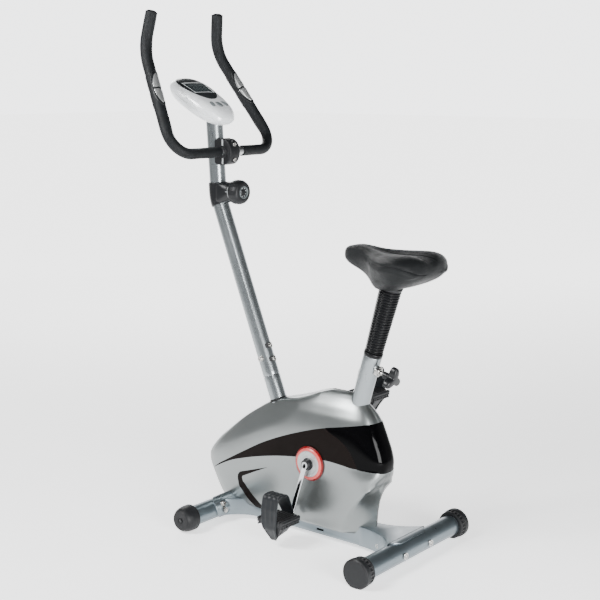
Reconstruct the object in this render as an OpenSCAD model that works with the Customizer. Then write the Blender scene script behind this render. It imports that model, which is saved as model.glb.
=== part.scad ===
// Upright exercise bike with a belt-driven flywheel and an adjustable magnetic brake.
// X points forwards, Y to the rider's left, Z up. The origin is on the floor, below
// the middle of the overall length, on the centre plane. Units are millimetres.

/* [Base] */
// Distance between the front and rear stabilizer axes
wheelbase = 542; // [500:1:560]
// Overall length of each stabilizer, end caps included
base_width = 432; // [400:2:460]
// Outer diameter of the stabilizer tubes
stabilizer_od = 51; // [46:0.5:52]
// Diameter of the end caps
foot_od = 70; // [68:0.5:72]

/* [Mast] */
// Outer diameter of the mast
mast_od = 42; // [40:0.5:43]
// Forward lean of the mast below its bend
mast_lean = 21.6; // [20:0.2:22.4]
// Forward lean of the mast above its bend
mast_top_lean = 3.8; // [3:0.1:5]
// Height of the mast's bend
mast_bend_z = 825; // [815:1:835]

/* [Seat] */
// Backward lean of the seat tube
seat_lean = 16.4; // [15.8:0.1:17]
// Outer diameter of the seat tube
seat_tube_od = 45; // [44:0.5:46]
// Outer diameter of the sliding seat post
seat_post_od = 38; // [37.5:0.1:38]
// Distance between two seat height holes
seat_hole_pitch = 25; // [24:0.5:26]

/* [Crank] */
// Distance from the crank axle to a pedal spindle
crank_length = 148; // [140:1:155]
// Height of the crank axle
crank_z = 202; // [200:1:204]
// Angle of the left crank arm below the horizontal, towards the front
crank_angle = 72; // [60:1:90]

/* [Drive] */
// Diameter of the large belt pulley
pulley_od = 208; // [200:1:210]
// Diameter of the belt pulley on the flywheel
small_pulley_od = 33; // [32:0.5:36]
// Diameter of the flywheel
flywheel_od = 180; // [170:1:182]

/* [Handlebar] */
// Half of the distance between the lower corners of the handlebar
bar_half_width = 192; // [180:1:198]
// Outer diameter of the handlebar tube
bar_od = 22; // [22:0.2:22.4]
// Outer diameter of the foam on the handlebar
foam_od = 27; // [26:0.5:29]

/* [Console] */
// Length of the console housing
console_length = 200; // [190:1:206]
// Width of the console housing
console_width = 124; // [116:1:130]

/* [Hidden] */
$fn = 48;

// Colours
silver = "#a9adb0";
steel = "#b9bcc0";
chrome = "#d5d8db";
black = "#1c1c1e";
dark = "#2b2c2f";
foam = "#222224";
white = "#e6e8ea";
red = "#b5302c";

// ---- places ----
base_mid_x = -68;
front_x = base_mid_x + wheelbase / 2;
rear_x = base_mid_x - wheelbase / 2;
axle_z = 33;
stabilizer_r = stabilizer_od / 2;
stabilizer_wall = 2;
cap_length = 34;
stabilizer_half = base_width / 2 - cap_length;

saddle_r = stabilizer_r + 4;
rear_bolt_y = 53;
front_bolt_y = 85;
bracket_z0 = 12;
bracket_z1 = 58;

beam_w = 50;
beam_z0 = 10;
beam_z1 = 60;
beam_x0 = rear_x + 52;
beam_x1 = front_x - 20;

mast_r = mast_od / 2;
mast_wall = 2;
mast_bend_x = 258;
mast_bend_r = 100;
mast_seam_z = 386;
mast_top_z = 1036;
function mast_x(z) = z < mast_bend_z
    ? mast_bend_x - (mast_bend_z - z) * tan(mast_lean)
    : mast_bend_x + (z - mast_bend_z) * tan(mast_top_lean);
function mast_point(z) = [mast_x(z), 0, z];
mast_path = [mast_point(mast_seam_z), mast_point(mast_bend_z), mast_point(mast_top_z)];

seat_foot_z = 360;
seat_foot_x = -193;
seat_tube_top_z = 482;
function seat_x(z) = seat_foot_x - (z - seat_foot_z) * tan(seat_lean);
function seat_point(z) = [seat_x(z), 0, z];
seat_tube_r = seat_tube_od / 2;
seat_post_r = seat_post_od / 2;
bushing_gap = 0.05;
pin_z = 452;
pin_r = 5;
pin_hole_r = 5.4;
bellows_base_z = seat_tube_top_z + 4;
saddle_joint_z = 646;

crank_x = -85;
axle_r = 8.5;
belt_y0 = -34;
belt_y1 = -24;
disc_y0 = 59;
disc_y1 = 66;
arm_y0 = 67;
arm_y1 = 81;
pedal_y0 = 87;
pedal_y1 = 157;
spindle_r = 6;
running_gap = 0.05;
left_pedal = [crank_x + crank_length * cos(crank_angle), crank_z - crank_length * sin(crank_angle)];
right_pedal = [crank_x - crank_length * cos(crank_angle), crank_z + crank_length * sin(crank_angle)];

flywheel_x = 136;
flywheel_z = 155;
flywheel_y = 12;
flywheel_axle_r = 5;
brake_gap = 8;
magnet_h = 7;
brake_r = flywheel_od / 2 + brake_gap;
brake_pivot_x = 192;
brake_pivot_z = 73;

clamp_x = 229;
clamp_z = 943;
clamp_half = 17;
clamp_height = 66;
bar_r = bar_od / 2;
foam_r = foam_od / 2;
bar_bend_low = 52;
bar_bend_high = 120;
function bar_path(side) = [
    [clamp_x, 0, clamp_z],
    [clamp_x, side * bar_half_width, clamp_z],
    [383, side * 131, 1195],
    [368, side * 120, 1280]
];

console_x = 310;
console_z = 1065;
console_tilt = 30;
console_depth = 24;
shell_wall = 2.2;

knob_z = 843;
knob_face_x = 173;

// ---- helpers ----
function unit(v) = v / norm(v);

// Puts the child's Z axis on the line from p towards q.
module aim(p, q) {
    d = q - p;
    translate(p)
        rotate([0, acos(d.z / norm(d)), atan2(d.y, d.x)])
            children();
}

// Straight round bar from p to q.
module rod(p, q, r) {
    aim(p, q) cylinder(h = norm(q - p), r = r);
}

// Round bar along Y from y0 to y1.
module y_rod(x, z, y0, y1, r) {
    translate([x, y1, z]) rotate([90, 0, 0]) cylinder(h = y1 - y0, r = r);
}

// Quarter of a torus, or less, that joins directions d1 and d2 at corner p.
module elbow(p, d1, d2, bend, r) {
    turn = acos(d1 * d2);
    inward = unit(d2 - (d2 * d1) * d1);
    centre = p - d1 * bend * tan(turn / 2) + inward * bend;
    axis = cross(-inward, d1);
    multmatrix([
        [-inward.x, d1.x, axis.x, centre.x],
        [-inward.y, d1.y, axis.y, centre.y],
        [-inward.z, d1.z, axis.z, centre.z],
        [0, 0, 0, 1]
    ])
        rotate_extrude(angle = turn) translate([bend, 0]) circle(r);
}

// Bent round bar through the points, with one bend radius for each inner point.
// Each bend is a hair thicker than the straights, so that it closes over their ends.
module bent_rod(points, bends, r, extra = 0) {
    last = len(points) - 1;
    dirs = [for (i = [0:last - 1]) unit(points[i + 1] - points[i])];
    overlap = 1;
    swell = 0.1;
    cut = [for (i = [0:last]) i == 0 || i == last
        ? -extra
        : bends[i - 1] * tan(acos(dirs[i - 1] * dirs[i]) / 2) - overlap];
    union() {
        for (i = [0:last - 1])
            rod(points[i] + dirs[i] * cut[i], points[i + 1] - dirs[i] * cut[i + 1], r);
        for (i = [1:last - 1])
            elbow(points[i], dirs[i - 1], dirs[i], bends[i - 1], r + swell);
    }
}

// Closed solid through a stack of rings that have the same number of points each.
module loft(rings) {
    n = len(rings[0]);
    m = len(rings);
    points = [for (ring = rings) for (p = ring) p];
    sides = [
        for (i = [0:m - 2]) for (j = [0:n - 1])
            let (a = i * n + j, b = i * n + (j + 1) % n, c = a + n, d = b + n)
                each [[a, c, b], [b, c, d]]
    ];
    first = [for (j = [0:n - 1]) j];
    last = [for (j = [n - 1:-1:0]) (m - 1) * n + j];
    polyhedron(points, concat([first], sides, [last]));
}

// Rectangle with round corners, centred.
module rounded_rect(w, h, r) {
    square([w - 2 * r, h], center = true);
    square([w, h - 2 * r], center = true);
    for (x = [-1, 1]) for (y = [-1, 1])
        translate([x * (w / 2 - r), y * (h / 2 - r)]) circle(r);
}

// Hexagon head or nut along Z.
module hexagon(across, h) {
    cylinder(h = h, r = across / sqrt(3), $fn = 6);
}

// ---- base ----
module main_beam() {
    slot_w = 22;
    color(silver) difference() {
        translate([beam_x0, 0, (beam_z0 + beam_z1) / 2])
            rotate([90, 0, 90])
                linear_extrude(beam_x1 - beam_x0) rounded_rect(beam_w, beam_z1 - beam_z0, 6);
        translate([beam_x0 - 1, 0, (beam_z0 + beam_z1) / 2])
            rotate([90, 0, 90])
                linear_extrude(beam_x1 - beam_x0 + 2) rounded_rect(beam_w - 5, beam_z1 - beam_z0 - 5, 4);
        for (x = [-92, 140])
            translate([x - slot_w / 2, -beam_w, 22]) cube([slot_w, 2 * beam_w, 5]);
        y_rod(front_x, axle_z, -beam_w, beam_w, saddle_r + 0.02);
    }
}

// Plate that widens in two concave curves from the beam to a stabilizer.
module flare_plan(x_narrow, x_wide, half_narrow, half_wide) {
    span = abs(x_wide - x_narrow);
    dir = x_wide > x_narrow ? 1 : -1;
    steps = 8;
    curve = [for (i = [0:steps]) let (t = i / steps)
        [x_narrow + dir * span * t, half_narrow + (half_wide - half_narrow) * pow(t, 2.2)]];
    polygon(concat(curve, [for (i = [steps:-1:0]) [curve[i].x, -curve[i].y]]));
}

// Saddle of a bracket: a curved plate on the inner side of a stabilizer tube.
module saddle_plate(x, dir, half) {
    intersection() {
        y_rod(x, axle_z, -half, half, saddle_r);
        translate([dir > 0 ? x - 4 : x - 40, -half - 1, bracket_z0]) cube([44, 2 * half + 2, 60]);
    }
}

module rear_bracket() {
    color(silver) difference() {
        union() {
            translate([0, 0, bracket_z0])
                linear_extrude(bracket_z1 - bracket_z0) flare_plan(beam_x0, rear_x + 6, beam_w / 2, 70);
            saddle_plate(rear_x, 1, 70);
        }
        translate([0, 0, bracket_z0 - 1])
            linear_extrude(bracket_z1 - bracket_z0 - 2) flare_plan(beam_x0 + 4, rear_x, beam_w / 2 - 4, 64);
        y_rod(rear_x, axle_z, -100, 100, stabilizer_r);
        for (y = [-rear_bolt_y, rear_bolt_y])
            translate([rear_x, y, axle_z]) rotate([0, 90, 0]) cylinder(h = 80, r = 4.2);
    }
}

module front_bracket() {
    color(silver) difference() {
        union() {
            translate([0, 0, bracket_z0])
                linear_extrude(bracket_z1 - bracket_z0) flare_plan(beam_x1, front_x - 4, beam_w / 2, 44);
            saddle_plate(front_x, -1, 111);
        }
        y_rod(front_x, axle_z, -120, 120, stabilizer_r);
        for (y = [-front_bolt_y, front_bolt_y])
            translate([front_x - 60, y, axle_z]) rotate([0, 90, 0]) cylinder(h = 60, r = 4.2);
    }
}

module stabilizer(x) {
    color(silver) difference() {
        y_rod(x, axle_z, -stabilizer_half, stabilizer_half, stabilizer_r);
        y_rod(x, axle_z, -stabilizer_half - 1, stabilizer_half + 1, stabilizer_r - stabilizer_wall);
        for (s = [-1, 1])
            translate([x - 40, s * (x > 0 ? front_bolt_y : rear_bolt_y), axle_z])
                rotate([0, 90, 0]) cylinder(h = 80, r = 4.2);
    }
}

// Carriage bolt with a washer-like head outside and a nut on the bracket, pointing along +X or -X.
module stabilizer_bolt(dir) {
    rotate([0, 90 * dir, 0]) {
        translate([0, 0, -stabilizer_r - 0.5]) cylinder(h = stabilizer_r + saddle_r + 8, r = 4);
        translate([0, 0, -stabilizer_r - 3.5]) cylinder(h = 3, r = 8);
        translate([0, 0, saddle_r]) hexagon(13, 6.5);
    }
}

module stabilizer_bolts() {
    color(chrome) {
        for (y = [-rear_bolt_y, rear_bolt_y]) translate([rear_x, y, axle_z]) stabilizer_bolt(1);
        for (y = [-front_bolt_y, front_bolt_y]) translate([front_x, y, axle_z]) stabilizer_bolt(-1);
    }
}

module front_foot_plugs() {
    color(black) for (s = [-1, 1]) {
        y0 = s > 0 ? stabilizer_half - 30 : -stabilizer_half - 2;
        y_rod(front_x, axle_z, y0, y0 + 32, stabilizer_r - stabilizer_wall);
        pin0 = s > 0 ? stabilizer_half + 2 : -base_width / 2 - 1;
        y_rod(front_x, axle_z, pin0, pin0 + cap_length - 1, 5);
    }
}

// Barrel-shaped transport roller.
module roller(side) {
    inner = stabilizer_half + 2.6;
    outer = base_width / 2;
    color(black) translate([front_x, 0, axle_z]) rotate([-90 * side, 0, 0])
        rotate_extrude() polygon([
            [5 + running_gap, inner], [27, inner], [32, inner + 5], [axle_z, inner + 12],
            [32.2, outer - 9], [29, outer - 2.5], [26, outer], [5 + running_gap, outer]
        ]);
}

// Levelling cap: a round cap with a flat, on a spigot inside the tube.
module rear_cap(side) {
    spigot_r = stabilizer_r - stabilizer_wall - 0.1;
    color(black) difference() {
        translate([rear_x, 0, axle_z]) rotate([-90 * side, 0, 0]) rotate_extrude() polygon([
            [0, stabilizer_half - 24], [spigot_r, stabilizer_half - 24],
            [spigot_r, stabilizer_half + 0.3], [foot_od / 2 - 4, stabilizer_half + 0.3],
            [foot_od / 2 - 4, stabilizer_half + 12], [foot_od / 2 - 1, stabilizer_half + 13],
            [foot_od / 2, stabilizer_half + 15], [foot_od / 2, base_width / 2 - 3],
            [foot_od / 2 - 3, base_width / 2], [0, base_width / 2]
        ]);
        translate([rear_x - 50, -base_width, -20]) cube([100, 2 * base_width, 20]);
    }
}

// ---- seat tube ----
module seat_tube() {
    low = seat_point(beam_z1 - 20);
    top = seat_point(seat_tube_top_z);
    pin = seat_point(pin_z);
    color(silver) difference() {
        union() {
            rod(low, top, seat_tube_r);
            aim(pin, pin - seat_normal()) {
                translate([0, 0, seat_tube_r - 4]) hexagon(24, 11);
            }
        }
        translate([-400, -100, beam_z1 - 60]) cube([600, 200, 60]);
        rod(low - [0, 0, 1], top + seat_dir() * 2, seat_tube_r - 2);
        rod(pin, pin - seat_normal() * 60, 5.05);
    }
}

function seat_dir() = [-sin(seat_lean), 0, cos(seat_lean)];
function seat_normal() = [cos(seat_lean), 0, sin(seat_lean)];

module seat_bushing() {
    top = seat_point(seat_tube_top_z);
    color(black) difference() {
        union() {
            rod(top - seat_dir() * 60, top + seat_dir() * 2, seat_tube_r - 2.1);
            rod(top, top + seat_dir() * 3, seat_tube_r);
        }
        rod(top - seat_dir() * 61, top + seat_dir() * 4, seat_post_r + bushing_gap);
        rod(seat_point(pin_z), seat_point(pin_z) - seat_normal() * 60, pin_hole_r);
    }
}

// Knob, threaded shank and pin. It is stored drawn out, clear of the post.
module seat_pin() {
    pin = seat_point(pin_z);
    tip = seat_post_r + 0.4;
    color(dark) aim(pin, pin - seat_normal()) {
        translate([0, 0, tip]) cylinder(h = 44, r = pin_r);
        translate([0, 0, tip + 24]) cylinder(h = 17, r = 8.5);
        for (a = [90, 210, 330]) rotate(a) hull() {
            translate([0, 0, tip + 40]) cylinder(h = 18, r = 10, $fn = 32);
            translate([19, 0, tip + 42]) cylinder(h = 14, r = 8, $fn = 32);
        }
    }
}

module seat_post() {
    low = seat_point(saddle_joint_z) - seat_dir() * 330;
    top = seat_point(saddle_joint_z) + seat_dir() * 18;
    color(chrome) difference() {
        rod(low, top, seat_post_r);
        rod(low - seat_dir(), top + seat_dir(), seat_post_r - 2);
        for (i = [-3:3]) {
            hole = seat_point(pin_z) + seat_dir() * i * seat_hole_pitch;
            rod(hole, hole - seat_normal() * 30, pin_hole_r);
        }
    }
}

// Ribbed cone that hides the post between the seat tube and the saddle.
module bellows() {
    length = (saddle_joint_z - bellows_base_z) / cos(seat_lean) - 1;
    ribs = 24;
    pitch = length / ribs;
    rib_h = 2.6;
    function outer(s) = 22 + 5 * s / length;
    profile = [for (i = [0:ribs - 1]) each [
        [outer(i * pitch) - rib_h, i * pitch], [outer(i * pitch), (i + 0.5) * pitch]
    ]];
    color(black) aim(seat_point(bellows_base_z), seat_point(saddle_joint_z))
        rotate_extrude() polygon(concat(
            profile,
            [[outer(length) - rib_h, length], [seat_post_r + 0.6, length], [seat_post_r + 0.1, 0]]
        ));
}

// ---- saddle ----
saddle_nose_x = -151;
saddle_length = 246;
saddle_rows = 15;
saddle_sides = 28;
// Distance from the nose, half width, top height and bottom height
saddle_shape = [
    [0, 8, 722, 708], [8, 21, 730, 700], [30, 28, 736, 697], [60, 31, 732, 694],
    [90, 38, 728, 689], [115, 52, 727, 686], [140, 70, 728, 684], [165, 88, 731, 684],
    [190, 100, 735, 686], [212, 104, 738, 690], [230, 97, 737, 694], [240, 78, 733, 700],
    [246, 46, 724, 708]
];
function shape_at(table, s, column) = lookup(s, [for (row = table) [row[0], row[column]]]);
function round_row(t) = (1 - cos(180 * t)) / 2;

function saddle_ring(s, inset) =
    let (
        w = shape_at(saddle_shape, s, 1) - inset,
        top = shape_at(saddle_shape, s, 2) - inset,
        low = shape_at(saddle_shape, s, 3) + inset,
        mid = low + (top - low) * 0.35
    )
    [for (i = [0:saddle_sides - 1])
        let (
            a = 360 * i / saddle_sides,
            c = sign(cos(a)) * pow(abs(cos(a)), 0.75),
            q = sign(sin(a)) * pow(abs(sin(a)), 0.75),
            h = q > 0 ? (top - mid) * q : (mid - low) * q
        )
        [saddle_nose_x - s, w * c, mid + h]];

module saddle_pad() {
    color(dark) loft([for (i = [0:saddle_rows]) saddle_ring(saddle_length * round_row(i / saddle_rows), 0)]);
}

module saddle_pan() {
    post = seat_point(saddle_joint_z);
    top = seat_point(684);
    color(black) difference() {
        hull() {
            translate([top.x - 8, 0, 680]) cylinder(h = 3.8, r = 52, $fn = 32);
            rod(post, post + seat_dir() * 2, 27, $fn = 32);
            translate([top.x + 62, 0, 680]) cylinder(h = 3.7, r = 16, $fn = 32);
        }
        rod(post - seat_dir() * 5, post + seat_dir() * 19, seat_post_r);
    }
}

// ---- mast ----
module mast_socket() {
    low = mast_point(beam_z1 - 20);
    top = mast_point(mast_seam_z);
    spigot = unit(mast_point(mast_bend_z) - top);
    color(silver) difference() {
        union() {
            rod(low, top, mast_r);
            rod(top - spigot * 5, top + spigot * 100, mast_r - mast_wall - 0.05);
        }
        translate([-400, -100, beam_z1 - 60]) cube([600, 200, 60]);
        rod(low - spigot * 5, top + spigot * 101, mast_r - 2 * mast_wall);
        for (z = screw_heights_rear) rod(mast_point(z), mast_point(z) - screw_axis_rear() * 40, 4.2);
        for (s = [-1, 1]) rod(mast_point(screw_height_side), mast_point(screw_height_side) + [0, s * 40, 0], 4.2);
        rod(mast_point(262), mast_point(262) + [40, 16, -8], 5);
    }
}

screw_heights_rear = [455, 422];
screw_height_side = 430;
function screw_axis_rear() = [cos(mast_lean), 0, -sin(mast_lean)];

module mast() {
    color(silver) difference() {
        bent_rod(mast_path, [mast_bend_r], mast_r);
        bent_rod(mast_path, [mast_bend_r], mast_r - mast_wall, extra = 2);
        for (z = screw_heights_rear) rod(mast_point(z), mast_point(z) - screw_axis_rear() * 40, 4.2);
        for (s = [-1, 1]) rod(mast_point(screw_height_side), mast_point(screw_height_side) + [0, s * 40, 0], 4.2);
        rod(mast_point(knob_z), [knob_face_x + 50, 0, knob_z], 4);
    }
}

// Button-head screw and its thick washer, along Z, just clear of the tube's curve.
module mast_screw() {
    difference() {
        union() {
            translate([0, 0, mast_r - 9]) cylinder(h = 12, r = 4);
            translate([0, 0, mast_r + 0.3]) cylinder(h = 4.2, r = 6.5);
        }
        translate([0, 0, mast_r + 2.5]) hexagon(5, 5);
    }
}

module mast_screws() {
    color(chrome) {
        for (z = screw_heights_rear) translate(mast_point(z)) rotate([0, mast_lean - 90, 0]) mast_screw();
        for (s = [-1, 1]) translate(mast_point(screw_height_side)) rotate([-90 * s, 0, 0]) mast_screw();
    }
}

module mast_gasket() {
    at = mast_point(334);
    up = unit(mast_point(mast_bend_z) - at);
    color(black) difference() {
        rod(at - up * 4, at + up * 4, mast_r + 3);
        rod(at - up * 5, at + up * 5, mast_r);
    }
}

// ---- drive frame ----
module bottom_bracket() {
    seat_side = seat_point(crank_z);
    mast_side = mast_point(crank_z);
    color(silver) difference() {
        union() {
            y_rod(crank_x, crank_z, -22, 34, 20);
            translate([seat_side.x, -15, crank_z - 14]) cube([mast_side.x - seat_side.x, 30, 28]);
        }
        y_rod(crank_x, crank_z, -23, 35, 16);
        rod(seat_point(100), seat_point(300), seat_tube_r);
        rod(mast_point(100), mast_point(300), mast_r);
        translate([mast_side.x, -20, crank_z - 20]) cube([60, 40, 40]);
        translate([seat_side.x - 60, -20, crank_z - 20]) cube([60, 40, 40]);
    }
}

module crank_bearings() {
    color(steel) for (y0 = [-22, 24]) difference() {
        y_rod(crank_x, crank_z, y0, y0 + 10, 16);
        y_rod(crank_x, crank_z, y0 - 1, y0 + 11, axle_r + running_gap);
    }
}

module crank_axle() {
    color(steel) y_rod(crank_x, crank_z, -arm_y1 + 2, arm_y1 - 2, axle_r);
}

module drive_pulley() {
    r = pulley_od / 2;
    color(dark) difference() {
        union() {
            y_rod(crank_x, crank_z, belt_y0, belt_y1, r);
            y_rod(crank_x, crank_z, belt_y0 - 8, belt_y0, 22);
        }
        y_rod(crank_x, crank_z, belt_y0 - 9, belt_y1 + 1, axle_r);
        difference() {
            y_rod(crank_x, crank_z, belt_y1 - 4, belt_y1 + 1, r - 8);
            y_rod(crank_x, crank_z, belt_y1 - 5, belt_y1 + 2, 24);
        }
        for (a = [0:60:300]) rotate_about_crank(a)
            y_rod(crank_x + 62, crank_z, belt_y0 - 1, belt_y1 + 1, 18);
    }
}

module rotate_about_crank(a) {
    translate([crank_x, 0, crank_z]) rotate([0, a, 0]) translate([-crank_x, 0, -crank_z]) children();
}

// Flat ribbon around both pulleys, in the XZ plane.
module belt_outline(extra) {
    c1 = [crank_x, crank_z];
    c2 = [flywheel_x, flywheel_z];
    r1 = pulley_od / 2 + extra;
    r2 = small_pulley_od / 2 + extra;
    d = c2 - c1;
    base = atan2(d.y, d.x);
    lean = acos((r1 - r2) / norm(d));
    steps1 = 44;
    steps2 = 16;
    polygon(concat(
        [for (i = [0:steps1]) let (a = base + lean + (360 - 2 * lean) * i / steps1) c1 + r1 * [cos(a), sin(a)]],
        [for (i = [0:steps2]) let (a = base - lean + 2 * lean * i / steps2) c2 + r2 * [cos(a), sin(a)]]
    ));
}

module drive_belt() {
    gap = 0.4;
    thick = 3;
    color(black) translate([0, belt_y1, 0]) rotate([90, 0, 0])
        linear_extrude(belt_y1 - belt_y0) difference() {
            belt_outline(gap + thick);
            belt_outline(gap);
        }
}

module flywheel() {
    r = flywheel_od / 2;
    color(steel) difference() {
        union() {
            y_rod(flywheel_x, flywheel_z, -flywheel_y, flywheel_y, r);
            y_rod(flywheel_x, flywheel_z, belt_y0, -flywheel_y, small_pulley_od / 2);
        }
        for (s = [-1, 1]) difference() {
            y_rod(flywheel_x, flywheel_z, s > 0 ? 5 : -13, s > 0 ? 13 : -5, r - 16);
            y_rod(flywheel_x, flywheel_z, -20, 20, 22);
        }
        y_rod(flywheel_x, flywheel_z, belt_y0 - 1, flywheel_y + 1, flywheel_axle_r + running_gap);
    }
}

module flywheel_axle() {
    color(steel) {
        y_rod(flywheel_x, flywheel_z, -43, 28, flywheel_axle_r);
        for (y0 = [-43, 21]) difference() {
            translate([flywheel_x, y0, flywheel_z]) rotate([-90, 0, 0]) hexagon(16, 5);
            y_rod(flywheel_x, flywheel_z, y0 - 1, y0 + 6, flywheel_axle_r);
        }
    }
}

module flywheel_fork() {
    foot_x = 98;
    foot_w = 34;
    color(silver) for (y0 = [-38, 18]) difference() {
        union() {
            translate([0, y0 + 3, 0]) rotate([90, 0, 0]) linear_extrude(3) polygon([
                [foot_x, beam_z1], [foot_x + foot_w, beam_z1],
                [flywheel_x + 17.9, flywheel_z], [flywheel_x - 17.9, flywheel_z]
            ]);
            y_rod(flywheel_x, flywheel_z, y0, y0 + 3, 18);
            translate([foot_x, y0 < 0 ? y0 : -18, beam_z1]) cube([foot_w, y0 < 0 ? 22 : 39, 4]);
        }
        y_rod(flywheel_x, flywheel_z, y0 - 1, y0 + 4, flywheel_axle_r);
    }
}

// ---- magnetic brake ----
module brake_arc(r0, r1, a0, a1, half) {
    translate([flywheel_x, half, flywheel_z]) rotate([90, 0, 0])
        rotate_extrude(angle = a1 - a0, start = a0) translate([r0, 0]) square([r1 - r0, 2 * half]);
}

module magnet_bracket() {
    color(steel) difference() {
        union() {
            brake_arc(brake_r + magnet_h, brake_r + magnet_h + 3, -56, 18, 16);
            for (y = [-16, 13]) y_rod(brake_pivot_x, brake_pivot_z, y, y + 3, 9);
        }
        y_rod(brake_pivot_x, brake_pivot_z, -20, 20, 4 + running_gap);
    }
}

module brake_magnets() {
    color(dark) for (a = [-40, -20, 0]) brake_arc(brake_r, brake_r + magnet_h, a, a + 14, 10);
}

module brake_pivot() {
    color(steel) {
        y_rod(brake_pivot_x, brake_pivot_z, -20.5, 20.5, 4);
        for (y = [-20.5, 17]) difference() {
            translate([brake_pivot_x - 8, y, bracket_z1]) cube([16, 3.5, 24]);
            y_rod(brake_pivot_x, brake_pivot_z, y - 1, y + 5, 4);
            y_rod(front_x, axle_z, y - 1, y + 5, saddle_r);
        }
    }
}

// Bowden cable from the knob housing down the mast to the brake.
cable_r = 2;
cable_route = [
    [232, 0, 843], [250, 0, 838], [253, 0, 820], [228, 0, 760], [180, 0, 639], [120, 0, 487],
    [80, 0, 386], [50, 0, 310], [36, 0, 275], [42, 5, 262], [66, 14, 254], [110, 17, 246],
    [160, 17, 236], [196, 17, 222], [210, 17, 206]
];

function route_dir(i) = unit(cable_route[min(i + 1, len(cable_route) - 1)] - cable_route[max(i - 1, 0)]);

module tension_cable() {
    sides = 8;
    color(black) loft([
        for (i = [0:len(cable_route) - 1])
            let (d = route_dir(i), u = unit(cross([0, 1, 0], d)), v = cross(d, u))
                [for (j = [0:sides - 1]) let (a = 360 * j / sides)
                    cable_route[i] + cable_r * (cos(a) * v + sin(a) * u)]
    ]);
}

// ---- shroud ----
// Height, rear tip, front tip and half width of each level
shroud_levels = [
    [42, -226, 244, 43], [50, -229, 252, 47], [70, -231, 264, 51], [95, -234, 277, 54],
    [122, -241, 290, 55], [138, -247, 293, 56], [152, -253, 291, 56], [172, -263, 278, 57],
    [198, -276, 254, 57], [223, -281, 224, 57], [249, -276, 192, 56], [275, -266, 157, 55],
    [300, -256, 118, 52], [322, -247, 80, 47], [338, -237, 38, 40], [352, -224, -12, 33],
    [364, -210, -50, 25], [374, -192, -78, 17], [381, -175, -100, 9]
];
widest_x = -94;
shroud_points = 44;

function shroud_ring(level, inset) =
    let (
        rear = level[1] + inset,
        front = level[2] - inset,
        half = level[3] - inset,
        middle = max(min(widest_x, front - 20), rear + 20)
    )
    [for (i = [0:shroud_points - 1])
        let (
            a = 360 * (i + 0.5) / shroud_points,
            power = cos(a) > 0 ? 2 / 2.3 : 2 / 3,
            c = sign(cos(a)) * pow(abs(cos(a)), power),
            q = sign(sin(a)) * pow(abs(sin(a)), power)
        )
        [middle + (cos(a) > 0 ? front - middle : middle - rear) * c, half * q]];

module shroud_body(inset) {
    loft([for (i = [0:len(shroud_levels) - 1])
        let (
            level = shroud_levels[i],
            z = i == 0 ? level[0] - (inset > 0 ? 4 : 0) : level[0] - inset
        )
        [for (p = shroud_ring(level, inset)) [p.x, p.y, z]]]);
}

// Side view of the gloss panel that wraps the rear.
module panel_window() {
    translate([0, 100, 0]) rotate([90, 0, 0]) linear_extrude(200) polygon([
        [-400, 338], [-255, 325], [-208, 301], [-185, 304], [-166, 262], [-172, 232], [-205, 210],
        [-240, 203], [-400, 206]
    ]);
}

module shroud_half(side) {
    wall = 2.5;
    panel_depth = 1.2;
    difference() {
        intersection() {
            shroud_body(0);
            translate([-400, side > 0 ? 0 : -100, 0]) cube([800, 100, 500]);
        }
        shroud_body(wall);
        difference() {
            panel_window();
            shroud_body(panel_depth);
        }
        rod(seat_point(250), seat_point(450), seat_tube_r + 0.3);
        rod(mast_point(250), mast_point(450), mast_r + 3);
        y_rod(crank_x, crank_z, -100, 100, 14);
        translate([-400, -beam_w / 2 - 0.5, 0]) cube([800, beam_w + 1, beam_z1 + 0.5]);
        y_rod(front_x, axle_z, -100, 100, saddle_r + 0.5);
        translate([beam_x1 - 4, -100, 0]) cube([front_x - beam_x1 + 4, 200, bracket_z1 + 0.5]);
    }
}

module shroud_left() { color(silver) shroud_half(1); }
module shroud_right() { color(silver) shroud_half(-1); }

module rear_panel() {
    color(black) difference() {
        intersection() {
            shroud_body(0);
            panel_window();
        }
        shroud_body(1.2);
        rod(seat_point(250), seat_point(450), seat_tube_r + 0.3);
    }
}

module shroud_screws() {
    color(dark) for (p = [[-205, 62], [40, 62], [200, 80], [-226, 150], [-158, 62]])
        y_rod(p.x, p.y, -5, 5, 2);
}

// ---- cranks and pedals ----
module crank_arms() {
    color(chrome) for (s = [-1, 1]) {
        end = s > 0 ? left_pedal : right_pedal;
        low = s > 0 ? arm_y0 : -arm_y1;
        along_arm = atan2(end[1] - crank_z, end[0] - crank_x);
        difference() {
            union() {
                y_rod(crank_x, crank_z, low, low + 14, 13);
                y_rod(end[0], end[1], low + 1, low + 13, 10);
                translate([crank_x, s > 0 ? arm_y0 + 12 : -arm_y0 - 2, crank_z]) rotate([90, 0, 0])
                    linear_extrude(10) rotate(along_arm)
                        polygon([[8, -8], [crank_length - 4, -6], [crank_length - 4, 6], [8, 8]]);
            }
            y_rod(crank_x, crank_z, low - 1, low + 15, axle_r);
            y_rod(end[0], end[1], low - 1, low + 15, spindle_r);
        }
    }
}

module crank_discs() {
    color(red) for (s = [-1, 1]) translate([crank_x, 0, crank_z]) rotate([-90 * s, 0, 0])
        rotate_extrude() polygon([
            [axle_r, disc_y0], [44, disc_y0], [44, disc_y0 + 1.5], [36, disc_y1 - 0.5],
            [35, disc_y1], [axle_r, disc_y1]
        ]);
}

module pedal_spindles() {
    color(steel) for (s = [-1, 1]) {
        end = s > 0 ? left_pedal : right_pedal;
        y0 = s > 0 ? arm_y0 : -pedal_y1 + 10;
        y_rod(end[0], end[1], y0, y0 + pedal_y1 - 10 - arm_y0, spindle_r);
        y_rod(end[0], end[1], s > 0 ? arm_y1 : -arm_y1 - 4, s > 0 ? arm_y1 + 4 : -arm_y1, 8.5);
    }
}

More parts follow.
